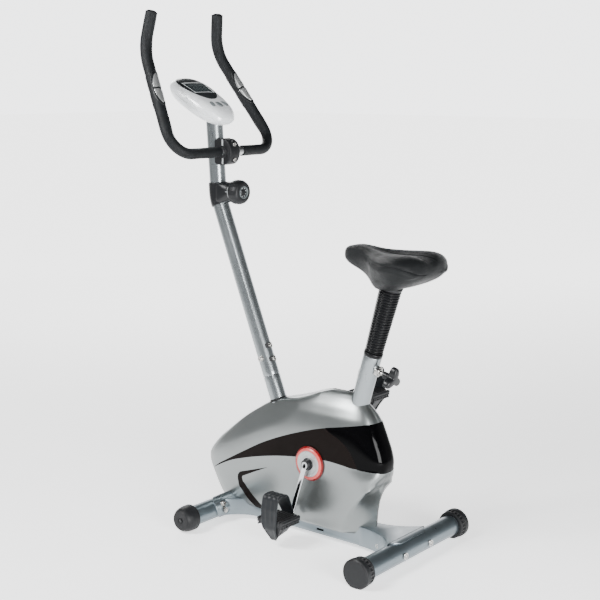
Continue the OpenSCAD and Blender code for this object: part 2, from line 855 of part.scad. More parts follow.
pedal_length = 80;
pedal_top = 15;
pedal_drop = 34;

// Wedge-shaped pedal with a ribbed tread.
module pedal(end, side) {
    y0 = side > 0 ? pedal_y0 : -pedal_y1;
    width = pedal_y1 - pedal_y0;
    color(black) difference() {
        translate([end[0], y0 + width, end[1]]) rotate([90, 0, 0]) linear_extrude(width) polygon([
            [-pedal_length / 2, pedal_top], [-pedal_length / 2, pedal_top - 9],
            [-9, -pedal_drop + 2], [-6, -pedal_drop], [6, -pedal_drop], [9, -pedal_drop + 2],
            [pedal_length / 2, pedal_top - 9], [pedal_length / 2, pedal_top]
        ]);
        for (i = [-4:4]) translate([end[0] + i * 9 - 1.5, y0 - 1, end[1] + pedal_top - 2.5])
            cube([3, width + 2, 4]);
        y_rod(end[0], end[1], y0 - 1, y0 + width + 1, spindle_r + running_gap);
    }
}

strap_width = 46;
strap_height = 62;

// Arched foot strap over a pedal, fixed to its two ends.
module strap(end, side) {
    thick = 3;
    mid_y = side * (pedal_y0 + pedal_y1) / 2;
    half = (pedal_y1 - pedal_y0) / 2;
    arch = 30;
    color(black) difference() {
        translate([end[0] - strap_width / 2, mid_y, end[1]]) rotate([90, 0, 90])
            linear_extrude(strap_width) {
                difference() {
                    union() {
                        translate([0, pedal_top + strap_height - arch]) circle(arch + thick);
                        translate([-arch - thick, pedal_top - 20])
                            square([2 * arch + 2 * thick, strap_height - arch + 20]);
                        translate([-half - thick, pedal_top - 20]) square([2 * half + 2 * thick, 22.5]);
                    }
                    translate([0, pedal_top + strap_height - arch]) circle(arch);
                    translate([-arch, pedal_top]) square([2 * arch, strap_height - arch]);
                    translate([-half, pedal_top - 30]) square([2 * half, 30]);
                }
            }
        y_rod(end[0], end[1], side * 95 - 14, side * 95 + 14, 9.2);
    }
}

// ---- tension control ----
module tension_sleeve() {
    top = mast_point(864);
    low = mast_point(808);
    sleeve_path = [low, mast_point(mast_bend_z), top];
    color(black) difference() {
        union() {
            bent_rod(sleeve_path, [mast_bend_r], mast_r + 2.5);
            rod([mast_x(knob_z) - 10, 0, knob_z], [knob_face_x + 32, 0, knob_z], 25);
        }
        bent_rod(mast_path, [mast_bend_r], mast_r);
        rod([mast_x(knob_z) - 10, 0, knob_z], [knob_face_x + 45, 0, knob_z], 12);
        rod([mast_x(knob_z), 0, knob_z], [knob_face_x + 30, 0, knob_z], 5 + running_gap);
    }
}

module tension_knob() {
    color(dark) difference() {
        union() {
            rod([knob_face_x + 31, 0, knob_z], [knob_face_x, 0, knob_z], 30);
            rod([knob_face_x + 44, 0, knob_z], [knob_face_x + 30, 0, knob_z], 5);
        }
        difference() {
            rod([knob_face_x + 3, 0, knob_z], [knob_face_x - 1, 0, knob_z], 26);
            rod([knob_face_x + 4, 0, knob_z], [knob_face_x - 2, 0, knob_z], 14);
        }
    }
}

// ---- handlebar and its clamp ----
module handlebar() {
    color(steel) for (s = [-1, 1]) difference() {
        bent_rod(bar_path(s), [bar_bend_low, bar_bend_high], bar_r);
        bent_rod(bar_path(s), [bar_bend_low, bar_bend_high], bar_r - 1.6, extra = 1);
    }
}

foam_start_left = 27;
foam_start_right = 50;

module foam_grips() {
    color(foam) for (s = [-1, 1]) {
        start = s > 0 ? foam_start_left : foam_start_right;
        path = [[clamp_x, s * start, clamp_z], each [for (i = [1:3]) bar_path(s)[i]]];
        tip = path[3];
        up = unit(path[3] - path[2]);
        difference() {
            union() {
                bent_rod(path, [bar_bend_low, bar_bend_high], foam_r);
                rod(tip, tip + up * 4, foam_r - 0.5);
            }
            bent_rod(path, [bar_bend_low, bar_bend_high], bar_r);
        }
    }
}

// Two chrome half shells on each arm, with a gap between them.
module pulse_sensors() {
    color(chrome) for (s = [-1, 1]) {
        arm = [for (i = [1:2]) bar_path(s)[i]];
        d = unit(arm[1] - arm[0]);
        from = arm[0] + d * 145;
        to = arm[0] + d * 215;
        difference() {
            rod(from, to, foam_r + 1.2);
            rod(from - d, to + d, foam_r);
            aim(from, to) {
                translate([-30, -3, -1]) cube([60, 6, 80]);
            }
        }
    }
}

module clamp_blank(x0, x1) {
    translate([0, clamp_half, clamp_z]) rotate([90, 0, 0]) linear_extrude(2 * clamp_half)
        intersection() {
            translate([x0, -clamp_height]) square([x1 - x0, 2 * clamp_height]);
            union() {
                translate([clamp_x + 6, 0]) circle(clamp_height / 2);
                translate([clamp_x + 6, -clamp_height / 2]) square([20, clamp_height]);
            }
        }
}

module clamp_base() {
    color(black) difference() {
        clamp_blank(clamp_x + 1, clamp_x + 24);
        y_rod(clamp_x, clamp_z, -50, 50, bar_r + running_gap);
        rod(mast_point(860), mast_point(1020), mast_r);
        for (z = [-19, 19]) rod([clamp_x - 50, 0, clamp_z + z], [clamp_x + 20, 0, clamp_z + z], 3);
    }
}

module clamp_cap() {
    color(black) difference() {
        clamp_blank(clamp_x - 40, clamp_x - 2);
        y_rod(clamp_x, clamp_z, -50, 50, bar_r + running_gap);
        for (z = [-19, 19]) {
            rod([clamp_x - 50, 0, clamp_z + z], [clamp_x + 20, 0, clamp_z + z], 3);
            rod([clamp_x - 50, 0, clamp_z + z], [clamp_x - 21, 0, clamp_z + z], 6);
        }
    }
}

module clamp_screws() {
    color(chrome) for (z = [-19, 19]) {
        rod([clamp_x - 22, 0, clamp_z + z], [clamp_x + 12, 0, clamp_z + z], 3);
        rod([clamp_x - 26, 0, clamp_z + z], [clamp_x - 21, 0, clamp_z + z], 5.5);
    }
}

// ---- console ----
console_sides = 40;
console_taper = 0.12;

module console_place() {
    translate([console_x, 0, console_z]) rotate([0, -console_tilt, 0]) children();
}

function egg(scale_by, inset) = [for (i = [0:console_sides - 1])
    let (a = 360 * i / console_sides)
    [
        (console_length / 2 * scale_by - inset) * cos(a),
        (console_width / 2 * scale_by - inset) * sin(a) * (1 + console_taper * cos(a))
    ]];

// Levels of the housing: height as a share of the depth, and size of the outline
console_levels = [
    [-1, 0.62], [-0.92, 0.78], [-0.7, 0.9], [-0.35, 0.98], [0, 1], [0.35, 0.985],
    [0.7, 0.93], [0.9, 0.86], [1, 0.78]
];

module console_body(inset) {
    loft([for (level = console_levels)
        [for (p = egg(level[1], inset)) [p.x, p.y, level[0] * (console_depth - inset)]]]);
}

module console_half(top) {
    difference() {
        intersection() {
            console_body(0);
            translate([-150, -100, top ? 0 : -60]) cube([300, 200, 60]);
        }
        console_body(shell_wall);
    }
}

module console_back() {
    color(white) difference() {
        console_place() console_half(false);
        rod(mast_point(900), mast_point(1100), mast_r + 0.2);
    }
}

window_x = 30;
button_x = -50;
button_y = [22, 0, -22];

module window_plan(grow) {
    translate([window_x, 0]) rounded_rect(94 + grow, 66 + grow, 18);
}

module console_front() {
    color(white) console_place() difference() {
        console_half(true);
        linear_extrude(60) window_plan(0);
        for (y = button_y) translate([button_x, y, 0]) cylinder(h = 60, r = 7);
    }
}

module console_window() {
    color(dark) console_place() translate([0, 0, console_depth - 3.6]) linear_extrude(3) window_plan(-0.6);
}

module console_board() {
    color("#2f6b3c") console_place() {
        translate([-4, 0, 11]) linear_extrude(1.6) rounded_rect(130, 76, 8);
        translate([window_x, 0, 12.6]) linear_extrude(6) rounded_rect(62, 42, 2);
    }
}

module button(i) {
    color(dark) console_place() translate([button_x, button_y[i], 0]) {
        translate([0, 0, 15]) cylinder(h = console_depth - 13.2, r = 6.6);
        translate([0, 0, 15]) cylinder(h = 3, r = 8.5);
    }
}

main_beam();
front_bracket();
rear_bracket();
stabilizer(front_x);  // front_stabilizer
stabilizer(rear_x);  // rear_stabilizer
stabilizer_bolts();
seat_tube();
seat_bushing();
mast_socket();
mast();
mast_screws();
mast_gasket();
bottom_bracket();
crank_bearings();
flywheel_fork();
flywheel_axle();
shroud_left();
shroud_right();
rear_panel();
shroud_screws();
tension_sleeve();
tension_cable();
clamp_base();
clamp_cap();
clamp_screws();
console_back();
console_front();
console_window();
console_board();
front_foot_plugs();
drive_belt();
brake_pivot();
crank_axle();
crank_arms();
crank_discs();
drive_pulley();
pedal_spindles();
pedal(left_pedal, 1);  // pedal_left
pedal(right_pedal, -1);  // pedal_right
strap(left_pedal, 1);  // strap_left
strap(right_pedal, -1);  // strap_right
flywheel();
magnet_bracket();
brake_magnets();
tension_knob();
handlebar();
foam_grips();
pulse_sensors();
seat_post();
saddle_pan();
saddle_pad();
bellows();
seat_pin();
button(0);  // button_left
button(1);  // button_middle
button(2);  // button_right
roller(1);  // roller_left
roller(-1);  // roller_right
rear_cap(1);  // rear_cap_left
rear_cap(-1);  // rear_cap_right
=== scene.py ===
import bpy, bmesh
from math import acos, atan2, copysign, cos, exp, hypot, pi as PI, radians, sin, sqrt, tan
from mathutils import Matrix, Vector, noise


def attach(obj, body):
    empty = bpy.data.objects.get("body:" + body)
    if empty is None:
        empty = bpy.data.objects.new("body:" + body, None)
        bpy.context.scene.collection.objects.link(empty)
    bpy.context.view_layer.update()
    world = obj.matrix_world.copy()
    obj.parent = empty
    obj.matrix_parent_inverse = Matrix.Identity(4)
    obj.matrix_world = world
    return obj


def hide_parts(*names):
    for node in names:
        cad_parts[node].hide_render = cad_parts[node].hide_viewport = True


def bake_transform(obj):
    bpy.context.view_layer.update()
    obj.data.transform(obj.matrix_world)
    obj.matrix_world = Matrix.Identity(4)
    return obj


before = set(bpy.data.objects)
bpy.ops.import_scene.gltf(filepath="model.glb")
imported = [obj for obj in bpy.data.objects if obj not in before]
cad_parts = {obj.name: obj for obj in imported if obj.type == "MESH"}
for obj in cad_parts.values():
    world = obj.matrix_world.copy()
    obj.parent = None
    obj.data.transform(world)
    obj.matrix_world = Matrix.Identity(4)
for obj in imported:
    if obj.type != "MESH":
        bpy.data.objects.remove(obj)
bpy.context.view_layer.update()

# Shapes are worked out in millimetres, in the frame's axes, and scaled when a mesh is made.
MM = 0.001
X, Y, Z = Vector((1, 0, 0)), Vector((0, 1, 0)), Vector((0, 0, 1))
SIDES = ((-1, "right"), (1, "left"))
NEAR_SIDE = (-0.628, 0.778, 0.0)     # level direction from the bike to the photograph's viewpoint
GLOW_FROM = (-2.0, 2.48, 0)          # point of the floor under that viewpoint
FLOOR_HALF = 30


# ---------------------------------------------------------------- shader nodes
def add_node(tree, kind, inputs=(), **settings):
    """Adds a shader node. inputs gives, by socket, a value or another node's output."""
    made = tree.nodes.new("ShaderNode" + kind)
    for key, value in settings.items():
        setattr(made, key, value)
    for key, value in dict(inputs).items():
        if isinstance(value, bpy.types.NodeSocket):
            tree.links.new(value, made.inputs[key])
        else:
            made.inputs[key].default_value = value
    return made


def ranged(tree, value, low, high, a=0.3, b=0.7, kind="LINEAR"):
    """Maps a..b to low..high."""
    sockets = {"From Min": a, "From Max": b, "To Min": low, "To Max": high, "Value": value}
    return add_node(tree, "MapRange", sockets, interpolation_type=kind).outputs["Result"]


def vector_math(tree, operation, *values):
    made = add_node(tree, "VectorMath", enumerate(values), operation=operation)
    return made.outputs["Value" if operation == "DOT_PRODUCT" else "Vector"]


def product(tree, a, b):
    return add_node(tree, "Math", {0: a, 1: b}, operation="MULTIPLY").outputs[0]


# ---------------------------------------------------------------- view and light
def place(o, at, direction):
    """Links a camera or a lamp, facing a direction."""
    o.location = at
    o.rotation_euler = Vector(direction).to_track_quat("-Z", "Y").to_euler()
    bpy.context.scene.collection.objects.link(o)


def camera():
    data = bpy.data.cameras.new("camera")
    data.lens, data.sensor_width = 73.68, 36.0
    cam = bpy.data.objects.new("camera", data)
    place(cam, (-1.8697, 2.3089, 1.1244), (0.6177, -0.766, -0.1775))
    bpy.context.scene.camera = cam


def area(name, at, look, size, size_y, power):
    data = bpy.data.lights.new(name, "AREA")
    data.shape, data.size, data.size_y, data.energy = "RECTANGLE", size, size_y, power
    place(bpy.data.objects.new(name, data), at, Vector(look) - Vector(at))


def backdrop():
    """Room light: bright behind the bike, dim on the near side and above."""
    world = bpy.data.worlds.new("studio")
    bpy.context.scene.world = world
    world.use_nodes = True
    tree = world.node_tree
    coord = add_node(tree, "TexCoord").outputs["Generated"]
    height = add_node(tree, "SeparateXYZ", {0: coord}).outputs["Z"]
    facing = vector_math(tree, "DOT_PRODUCT", coord, NEAR_SIDE)
    back = tree.nodes["Background"]
    back.inputs["Color"].default_value = (0.985, 0.99, 1.0, 1)
    tree.links.new(product(tree, ranged(tree, height, 1.0, 0.05, 0.07, 0.5, "SMOOTHSTEP"),
                           ranged(tree, facing, 3.6, 0.55, -0.97, -0.6, "SMOOTHSTEP")), back.inputs["Strength"])


def floor():
    """Pale paper. Its glow is fixed in the room: a wedge that opens from GLOW_FROM to the backdrop, so that
    the horizon doesn't show from the photograph's side. From other sides the horizon shows."""
    me = bpy.data.meshes.new("studio_floor")
    corners = [(x * FLOOR_HALF, y * FLOOR_HALF, 0) for x, y in ((-1, -1), (1, -1), (1, 1), (-1, 1))]
    me.from_pydata(corners, [], [(0, 1, 2, 3)])
    sheet = bpy.data.objects.new("studio_floor", me)
    bpy.context.scene.collection.objects.link(sheet)
    paper = surface("floor_paper", (0.90, 0.905, 0.91), 0.9, (90, 0.0002), spread=0.01, lustre=0.1)
    me.materials.append(paper)
    tree = paper.node_tree
    spot = add_node(tree, "TexCoord").outputs["Object"]
    reach = vector_math(tree, "DOT_PRODUCT", spot, NEAR_SIDE)
    outward = vector_math(tree, "NORMALIZE", vector_math(tree, "SUBTRACT", spot, GLOW_FROM))
    lane = vector_math(tree, "DOT_PRODUCT", outward, NEAR_SIDE)
    shader = tree.nodes["Principled BSDF"]
    shader.inputs["Emission Color"].default_value = (1, 1, 1, 1)
    tree.links.new(product(tree, ranged(tree, reach, 3.2, 1.25, -4.5, 0.0, "SMOOTHSTEP"),
                           ranged(tree, lane, 1.0, 0.2, -0.95, -0.70, "SMOOTHSTEP")),
                   shader.inputs["Emission Strength"])


# ---------------------------------------------------------------- materials
def surface(name, tone, rough, grain, metal=0.0, coat=0.0, coat_rough=0.08, spread=0.06, rough_spread=0.06,
            mottle=7.0, cells=None, flakes=0.0, rings=None, lustre=0.5, sheen=0.0, wear=0.0):
    """A procedural material: slow colour and gloss variation, fine grain in the bump, and optional metal
    flakes, leather cells, turned rings and paler worn edges. grain, cells and rings are (scale, height)."""
    m = bpy.data.materials.new(name)
    m.use_nodes = True
    tree = m.node_tree
    shader = tree.nodes["Principled BSDF"]
    for key, value in (("Metallic", metal), ("Coat Weight", coat), ("Coat Roughness", coat_rough),
                       ("Specular IOR Level", lustre), ("Sheen Weight", sheen), ("Sheen Roughness", 0.5)):
        shader.inputs[key].default_value = value
    coord = add_node(tree, "TexCoord").outputs["Object"]

    def noise_at(scale, detail=4.0):
        return add_node(tree, "TexNoise", {"Scale": scale, "Detail": detail, "Vector": coord}).outputs["Fac"]

    def mixed(fac, a, b):
        return add_node(tree, "Mix", {0: fac, 6: a, 7: b}, data_type="RGBA").outputs[2]

    def shade(factor, plus=0.0):
        return tuple(min(1.0, c * factor + plus) for c in tone) + (1,)

    colour = mixed(ranged(tree, noise_at(mottle), 0, 1), shade(1 - spread), shade(1 + spread))
    if flakes:
        flake = add_node(tree, "TexVoronoi", {"Scale": 1500, "Vector": coord}).outputs["Distance"]
        colour = mixed(ranged(tree, flake, 1, 0, 0.05, 0.35), colour, shade(1 + flakes))
    if wear:
        edge = add_node(tree, "NewGeometry").outputs["Pointiness"]
        colour = mixed(ranged(tree, edge, 0, 0.6, 0.53, 0.6), colour, shade(1, wear))
    tree.links.new(colour, shader.inputs["Base Color"])
    tree.links.new(ranged(tree, noise_at(mottle * 3.1), max(0.02, rough - rough_spread), rough + rough_spread),
                   shader.inputs["Roughness"])

    heights = [(noise_at(grain[0], 3.0), grain[1])]
    if cells:
        cell = add_node(tree, "TexVoronoi", {"Scale": cells[0], "Vector": coord}, feature="DISTANCE_TO_EDGE")
        heights.append((ranged(tree, cell.outputs["Distance"], 0, 1, 0.0, 0.18), cells[1]))
    if rings:
        wave = add_node(tree, "TexWave", {"Scale": rings[0], "Distortion": 0.6, "Vector": coord},
                        wave_type="RINGS", rings_direction="Y")
        heights.append((wave.outputs["Fac"], rings[1]))
    below = {}
    for height, distance in heights:
        bump = add_node(tree, "Bump", {"Strength": 0.6, "Distance": distance, "Height": height, **below})
        below = {"Normal": bump.outputs["Normal"]}
    tree.links.new(below["Normal"], shader.inputs["Normal"])
    return m


M = {
    # silver and tube are one silver coat in two tones: silver is the darker copy, painted shade on the low frame;
    # tube is the lighter copy, painted light on the mast and the seat tube
    "silver": surface("silver_coat_painted_shade", (0.150, 0.182, 0.202), 0.32, (300, 0.00006), metal=0.88, coat=0.2,
                      coat_rough=0.2, spread=0.04, flakes=0.12, lustre=0.35, wear=0.10),
    "tube": surface("silver_coat_painted_light", (0.245, 0.268, 0.278), 0.27, (90, 0.00003), metal=0.9, coat=0.2,
                    coat_rough=0.2, spread=0.03, rough_spread=0.03, mottle=4, lustre=0.35, wear=0.10),
    "shroud": surface("shroud_silver_paint", (0.215, 0.230, 0.229), 0.31, (90, 0.00003), metal=0.9, coat=0.25,
                      coat_rough=0.16, spread=0.03, rough_spread=0.03, mottle=4, lustre=0.35),
    "swoosh": surface("satin_black_film", (0.0050, 0.0034, 0.0030), 0.5, (900, 0.00004), spread=0.15, lustre=0.05),
    "gloss": surface("gloss_black_visor", (0.0008, 0.0008, 0.001), 0.07, (30, 0.00001), spread=0.2,
                     rough_spread=0.02, lustre=0.055),
    "black": surface("black_moulding", (0.008, 0.0085, 0.0095), 0.46, (1300, 0.00016), spread=0.2, lustre=0.22,
                     wear=0.03),
    "satin": surface("black_satin_moulding", (0.006, 0.0065, 0.0075), 0.34, (900, 0.00008), coat=0.08,
                     coat_rough=0.3, spread=0.15, lustre=0.25, wear=0.03),
    "rubber": surface("black_rubber", (0.008, 0.0085, 0.009), 0.6, (700, 0.0002), spread=0.2, lustre=0.2,
                      sheen=0.04),
    "bellows": surface("bellows_rubber", (0.003, 0.0032, 0.0038), 0.32, (500, 0.00012), spread=0.25, mottle=30,
                       lustre=0.17),
    "foam": surface("foam_sleeve", (0.006, 0.007, 0.008), 0.55, (1500, 0.0003), spread=0.35, mottle=60,
                    cells=(900, 0.00015), lustre=0.18),
    "vinyl": surface("saddle_vinyl", (0.0075, 0.0083, 0.0088), 0.44, (420, 0.00012), spread=0.16, mottle=14,
                     cells=(1100, 0.00022), lustre=0.11),
    "strap": surface("strap_rubber_grey", (0.0105, 0.012, 0.0138), 0.44, (600, 0.00015), spread=0.18, mottle=30,
                     lustre=0.22),
    "chrome": surface("polished_chrome", (0.50, 0.51, 0.52), 0.1, (160, 0.00003), metal=1.0, spread=0.02,
                      rough_spread=0.04),
    "zinc": surface("zinc_fastener", (0.40, 0.395, 0.38), 0.24, (900, 0.00006), metal=1.0, spread=0.08,
                    mottle=120, wear=0.15),
    "steel": surface("turned_steel", (0.48, 0.49, 0.50), 0.3, (700, 0.00003), metal=1.0, rings=(260, 0.00004)),
    "iron": surface("machined_cast_iron", (0.22, 0.225, 0.23), 0.45, (500, 0.00015), metal=0.9, spread=0.12,
                    rings=(200, 0.00006)),
    "magnet": surface("coated_ferrite", (0.03, 0.03, 0.033), 0.55, (800, 0.0001), spread=0.2),
    "belt": surface("ribbed_belt_rubber", (0.012, 0.012, 0.013), 0.55, (900, 0.0001), spread=0.2, lustre=0.3),
    "bar": surface("silver_bar", (0.58, 0.59, 0.60), 0.2, (300, 0.00004), metal=0.95, spread=0.04),
    "white": surface("pearl_white_housing", (0.72, 0.745, 0.76), 0.3, (420, 0.00005), metal=0.1, coat=0.4,
                     coat_rough=0.12, spread=0.025, flakes=0.1),
    "bezel": surface("console_fascia", (0.011, 0.0135, 0.015), 0.3, (800, 0.00004), coat=0.1, spread=0.12,
                     lustre=0.2),
    "screen": surface("lcd_screen", (0.022, 0.03, 0.033), 0.2, (60, 0.00001), coat=0.2, coat_rough=0.05,
                      spread=0.1, lustre=0.25),
    "segment": surface("lcd_segment", (0.06, 0.075, 0.078), 0.35, (500, 0.00001), lustre=0.25),
    "trim": surface("screen_frame", (0.60, 0.63, 0.64), 0.3, (500, 0.00003), metal=0.2, spread=0.03),
    "button": surface("grey_button", (0.11, 0.125, 0.13), 0.42, (900, 0.00006), spread=0.08, lustre=0.3,
                      wear=0.06),
    "red": surface("red_ring", (0.13, 0.003, 0.003), 0.3, (700, 0.00005), coat=0.1, spread=0.15, mottle=40,
                   lustre=0.3),
    # pink: red plastic painted pale pink, a painted reddish reflection
    "pink": surface("red_rim_painted_reflection", (0.50, 0.07, 0.065), 0.3, (900, 0.00005), coat=0.1, spread=0.12,
                    mottle=60, lustre=0.3),
    "disc": surface("silver_disc", (0.36, 0.37, 0.37), 0.3, (600, 0.00004), metal=0.7, coat=0.2, spread=0.04),
    "board": surface("circuit_board", (0.03, 0.14, 0.06), 0.45, (900, 0.00005), coat=0.3, spread=0.15, mottle=90),
    "mark": surface("pale_mark", (0.42, 0.44, 0.45), 0.45, (900, 0.00002), spread=0.05),
}


# ---------------------------------------------------------------- small helpers
def turn(n):
    """n even angles round a circle."""
    return [2 * PI * j / n for j in range(n)]


def ramp(value, start, run):
    """Goes from 0 to 1 as value goes from start over run."""
    return min(1.0, max(0.0, (value - start) / run))


def signed(value, power):
    """A power that keeps the sign."""
    return copysign(abs(value) ** power, value)


def table(rows, key, column):
    """Smooth look-up in a table: cubic between rows, level beyond its ends."""
    if key <= rows[0][0]:
        return rows[0][column]
    if key >= rows[-1][0]:
        return rows[-1][column]
    i = max(j for j in range(len(rows)) if rows[j][0] <= key)
    p0, p1, p2, p3 = (rows[min(max(j, 0), len(rows) - 1)] for j in (i - 1, i, i + 1, i + 2))
    h = p2[0] - p1[0]
    t = (key - p1[0]) / h
    m1 = (p2[column] - p0[column]) / max(p2[0] - p0[0], 1e-9) * h
    m2 = (p3[column] - p1[column]) / max(p3[0] - p1[0], 1e-9) * h
    return ((2 * t ** 3 - 3 * t ** 2 + 1) * p1[column] + (t ** 3 - 2 * t ** 2 + t) * m1
            + (-2 * t ** 3 + 3 * t ** 2) * p2[column] + (t ** 3 - t ** 2) * m2)


def basis(axis, up=None):
    """Two directions square to axis, so that (u, v, axis) is right-handed."""
    axis = Vector(axis).normalized()
    ref = Vector(up) if up else (Z if abs(axis.z) < 0.9 else X)
    u = (ref - axis * ref.dot(axis)).normalized()
    return u, axis.cross(u), axis


# ---------------------------------------------------------------- paths
def rounded(points, radii, n=8, closed=False):
    """A polyline with its corners rounded. radii is one number or one for each point."""
    pts = [Vector(p) for p in points]
    k = len(pts)
    radii = radii if isinstance(radii, (list, tuple)) else [radii] * k
    out = []
    for i, p in enumerate(pts):
        if not closed and i in (0, k - 1):
            out.append(p)
            continue
        a, b = pts[i - 1] - p, pts[(i + 1) % k] - p
        angle = a.angle(b)
        if radii[i] <= 0 or angle > PI - 0.02:
            out.append(p)
            continue
        cut = min(radii[i] / tan(angle / 2), a.length * 0.49, b.length * 0.49)
        r = cut * tan(angle / 2)
        a, b = a.normalized(), b.normalized()
        centre = p + (a + b).normalized() * hypot(cut, r)
        s, e = p + a * cut - centre, p + b * cut - centre
        sweep = s.angle(e)
        out += [centre + (s * sin((1 - t) * sweep) + e * sin(t * sweep)) / sin(sweep)
                for t in (j / n for j in range(n + 1))]
    return out


def rounded_flat(points, radii, n, closed=True):
    """The same for points with two numbers."""
    return [(p.x, p.y) for p in rounded([Vector((a, b, 0)) for a, b in points], radii, n, closed)]


def resample(path, step):
    out = [path[0]]
    for a, b in zip(path, path[1:]):
        k = max(1, int(round((b - a).length / step)))
        out += [a.lerp(b, j / k) for j in range(1, k + 1)]
    return out


def heading(path, i):
    return (path[min(i + 1, len(path) - 1)] - path[max(i - 1, 0)]).normalized()


def distances(path):
    """Length of the path up to each of its points."""
    out = [0.0]
    for a, b in zip(path, path[1:]):
        out.append(out[-1] + (b - a).length)
    return out


# ---------------------------------------------------------------- solids, as (vertices, faces)
def fan(verts, faces, first, count, tip):
    """Closes the ring that starts at vertex first with triangles to a tip."""
    verts.append(tip)
    faces += [(first + j, first + (j + 1) % count, len(verts) - 1) for j in range(count)]


def loft(rings, capped=True, loop=False):
    """Quads between rings of equal length. With loop, the last ring joins the first."""
    k = len(rings[0])
    verts = [v for ring in rings for v in ring]
    faces = []
    for i in range(len(rings) if loop else len(rings) - 1):
        a, b = i * k, ((i + 1) % len(rings)) * k
        faces += [(a + j, a + (j + 1) % k, b + (j + 1) % k, b + j) for j in range(k)]
    if capped and not loop:
        for i in (0, len(rings) - 1):
            fan(verts, faces, i * k, k, sum((Vector(v) for v in rings[i]), Vector()) / k)
    return verts, faces


def merge(*parts):
    verts, faces = [], []
    for v, f in parts:
        base = len(verts)
        verts += list(v)
        faces += [tuple(i + base for i in face) for face in f]
    return verts, faces


def turned(profile, at, axis, seg=64):
    """Solid of revolution from (radius, height) points along axis. Radius 0 closes it on the axis."""
    u, v, w = basis(axis)
    at = Vector(at)
    on_axis = profile[0][0] < 1e-6 and profile[-1][0] < 1e-6
    rings = [[at + w * h + (u * cos(a) + v * sin(a)) * r for a in turn(seg)]
             for r, h in (profile[1:-1] if on_axis else profile)]
    verts, faces = loft(rings, capped=False, loop=not on_axis)
    if on_axis:
        for ring, (_, h) in ((0, profile[0]), (len(rings) - 1, profile[-1])):
            fan(verts, faces, ring * seg, seg, at + w * h)
    return verts, faces


def spun(corners, r, at, axis, seg=64):
    """A turned solid whose profile corners are rounded by r."""
    closed = not (corners[0][0] < 1e-6 and corners[-1][0] < 1e-6)
    return turned(rounded_flat(corners, r, 4, closed), at, axis, seg)


# How a rolled tube end goes inwards: shares of the rounding along and across the tube
END_CURVE = ((0, 1), (0.08, 0.62), (0.3, 0.3), (0.62, 0.08), (1, 0))


def swept(path, radius, seg=48, wall=0.0, end_round=0.6):
    """Round tube or bar along a path. radius is a number or a function of the share of the length."""
    run = distances(path)
    size = radius if callable(radius) else (lambda share: radius)
    u = basis(heading(path, 0))[0]
    frames = []
    for i in range(len(path)):
        d = heading(path, i)
        u = (u - d * u.dot(d)).normalized()
        frames.append((u, d.cross(u), d))

    def ring(i, r, shift=0.0):
        u, v, d = frames[i]
        return [path[i] + d * shift + (u * cos(a) + v * sin(a)) * r for a in turn(seg)]

    def rings(thinner):
        return [ring(i, size(run[i] / run[-1]) - thinner) for i in range(len(path))]

    outer = rings(0)
    outer[:1] = [ring(0, size(0.0) - end_round * b, end_round * a) for a, b in END_CURVE]
    outer[-1:] = [ring(-1, size(1.0) - end_round * b, -end_round * a) for a, b in END_CURVE[::-1]]
    return loft(outer + rings(wall)[::-1], loop=True) if wall else loft(outer)


def straight(a, b, r, seg=64, wall=2.0):
    return swept(resample([a, b], 14), r, seg, wall)


def prism(outline, axis, low, high, at, up=None):
    """Straight extrusion of a 2D outline (u, v) along axis between two heights."""
    u, v, w = basis(axis, up)
    k = len(outline)
    verts = [at + u * p[0] + v * p[1] + w * h for h in (low, high) for p in outline]
    faces = [(j, (j + 1) % k, k + (j + 1) % k, k + j) for j in range(k)]
    return verts, faces + [tuple(range(k))[::-1], tuple(range(k, 2 * k))]


def box(lo, hi):
    (a, b, c), (d, e, f) = lo, hi
    v = [(x, y, z) for z in (c, f) for x, y in ((a, b), (d, b), (d, e), (a, e))]
    return v, [(0, 3, 2, 1), (4, 5, 6, 7), (0, 1, 5, 4), (1, 2, 6, 5), (2, 3, 7, 6), (3, 0, 4, 7)]


def six_sided(pts):
    """Solid from four corners and the four opposite ones."""
    return pts, [(0, 1, 2, 3), (7, 6, 5, 4), (0, 4, 5, 1), (1, 5, 6, 2), (2, 6, 7, 3), (3, 7, 4, 0)]


def grid_faces(columns, rows):
    k = rows + 1
    return [(i * k + j, i * k + j + 1, (i + 1) * k + j + 1, (i + 1) * k + j)
            for i in range(columns) for j in range(rows)]


def piece(name, shape, body, look, rep=(), sharp=35, bevel=0.0, segments=2):
    """Makes the object: welds, orients, bevels sharp edges, shades it and puts it on its body."""
    verts, faces = shape
    me = bpy.data.meshes.new(name)
    me.from_pydata([tuple(c * MM for c in v) for v in verts], [], faces)
    bm = bmesh.new()
    bm.from_mesh(me)
    bmesh.ops.remove_doubles(bm, verts=bm.verts, dist=2e-6)
    bmesh.ops.dissolve_degenerate(bm, dist=1e-6, edges=bm.edges)
    bmesh.ops.recalc_face_normals(bm, faces=bm.faces)
    if bevel:
        edges = [e for e in bm.edges if len(e.link_faces) == 2 and e.calc_face_angle() > radians(sharp)]
        bmesh.ops.bevel(bm, geom=edges, offset=bevel * MM, segments=segments, profile=0.5, affect="EDGES",
                        clamp_overlap=True)
    bm.to_mesh(me)
    bm.free()
    me.shade_smooth()
    me.set_sharp_from_angle(angle=radians(60 if bevel else max(sharp, 32)))
    o = bpy.data.objects.new(name, me)
    bpy.context.scene.collection.objects.link(o)
    me.materials.append(M[look])
    if body:
        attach(o, body)
    if rep:
        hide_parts(*rep)
    return o


camera()
backdrop()
area("key", (0.82, 1.88, 2.2), (-0.1, 0, 0.35), 1.1, 0.9, 115)
area("strip", (-2.35, 0.95, 0.6), (-0.25, 0, 0.3), 1.0, 0.9, 105)
area("side", (-2.3, 2.3, 2.4), (0, 0, 0.5), 0.8, 0.8, 32)
area("rim", (2.6, -1.6, 2.2), (0, 0, 0.8), 1.2, 1.2, 40)
floor()

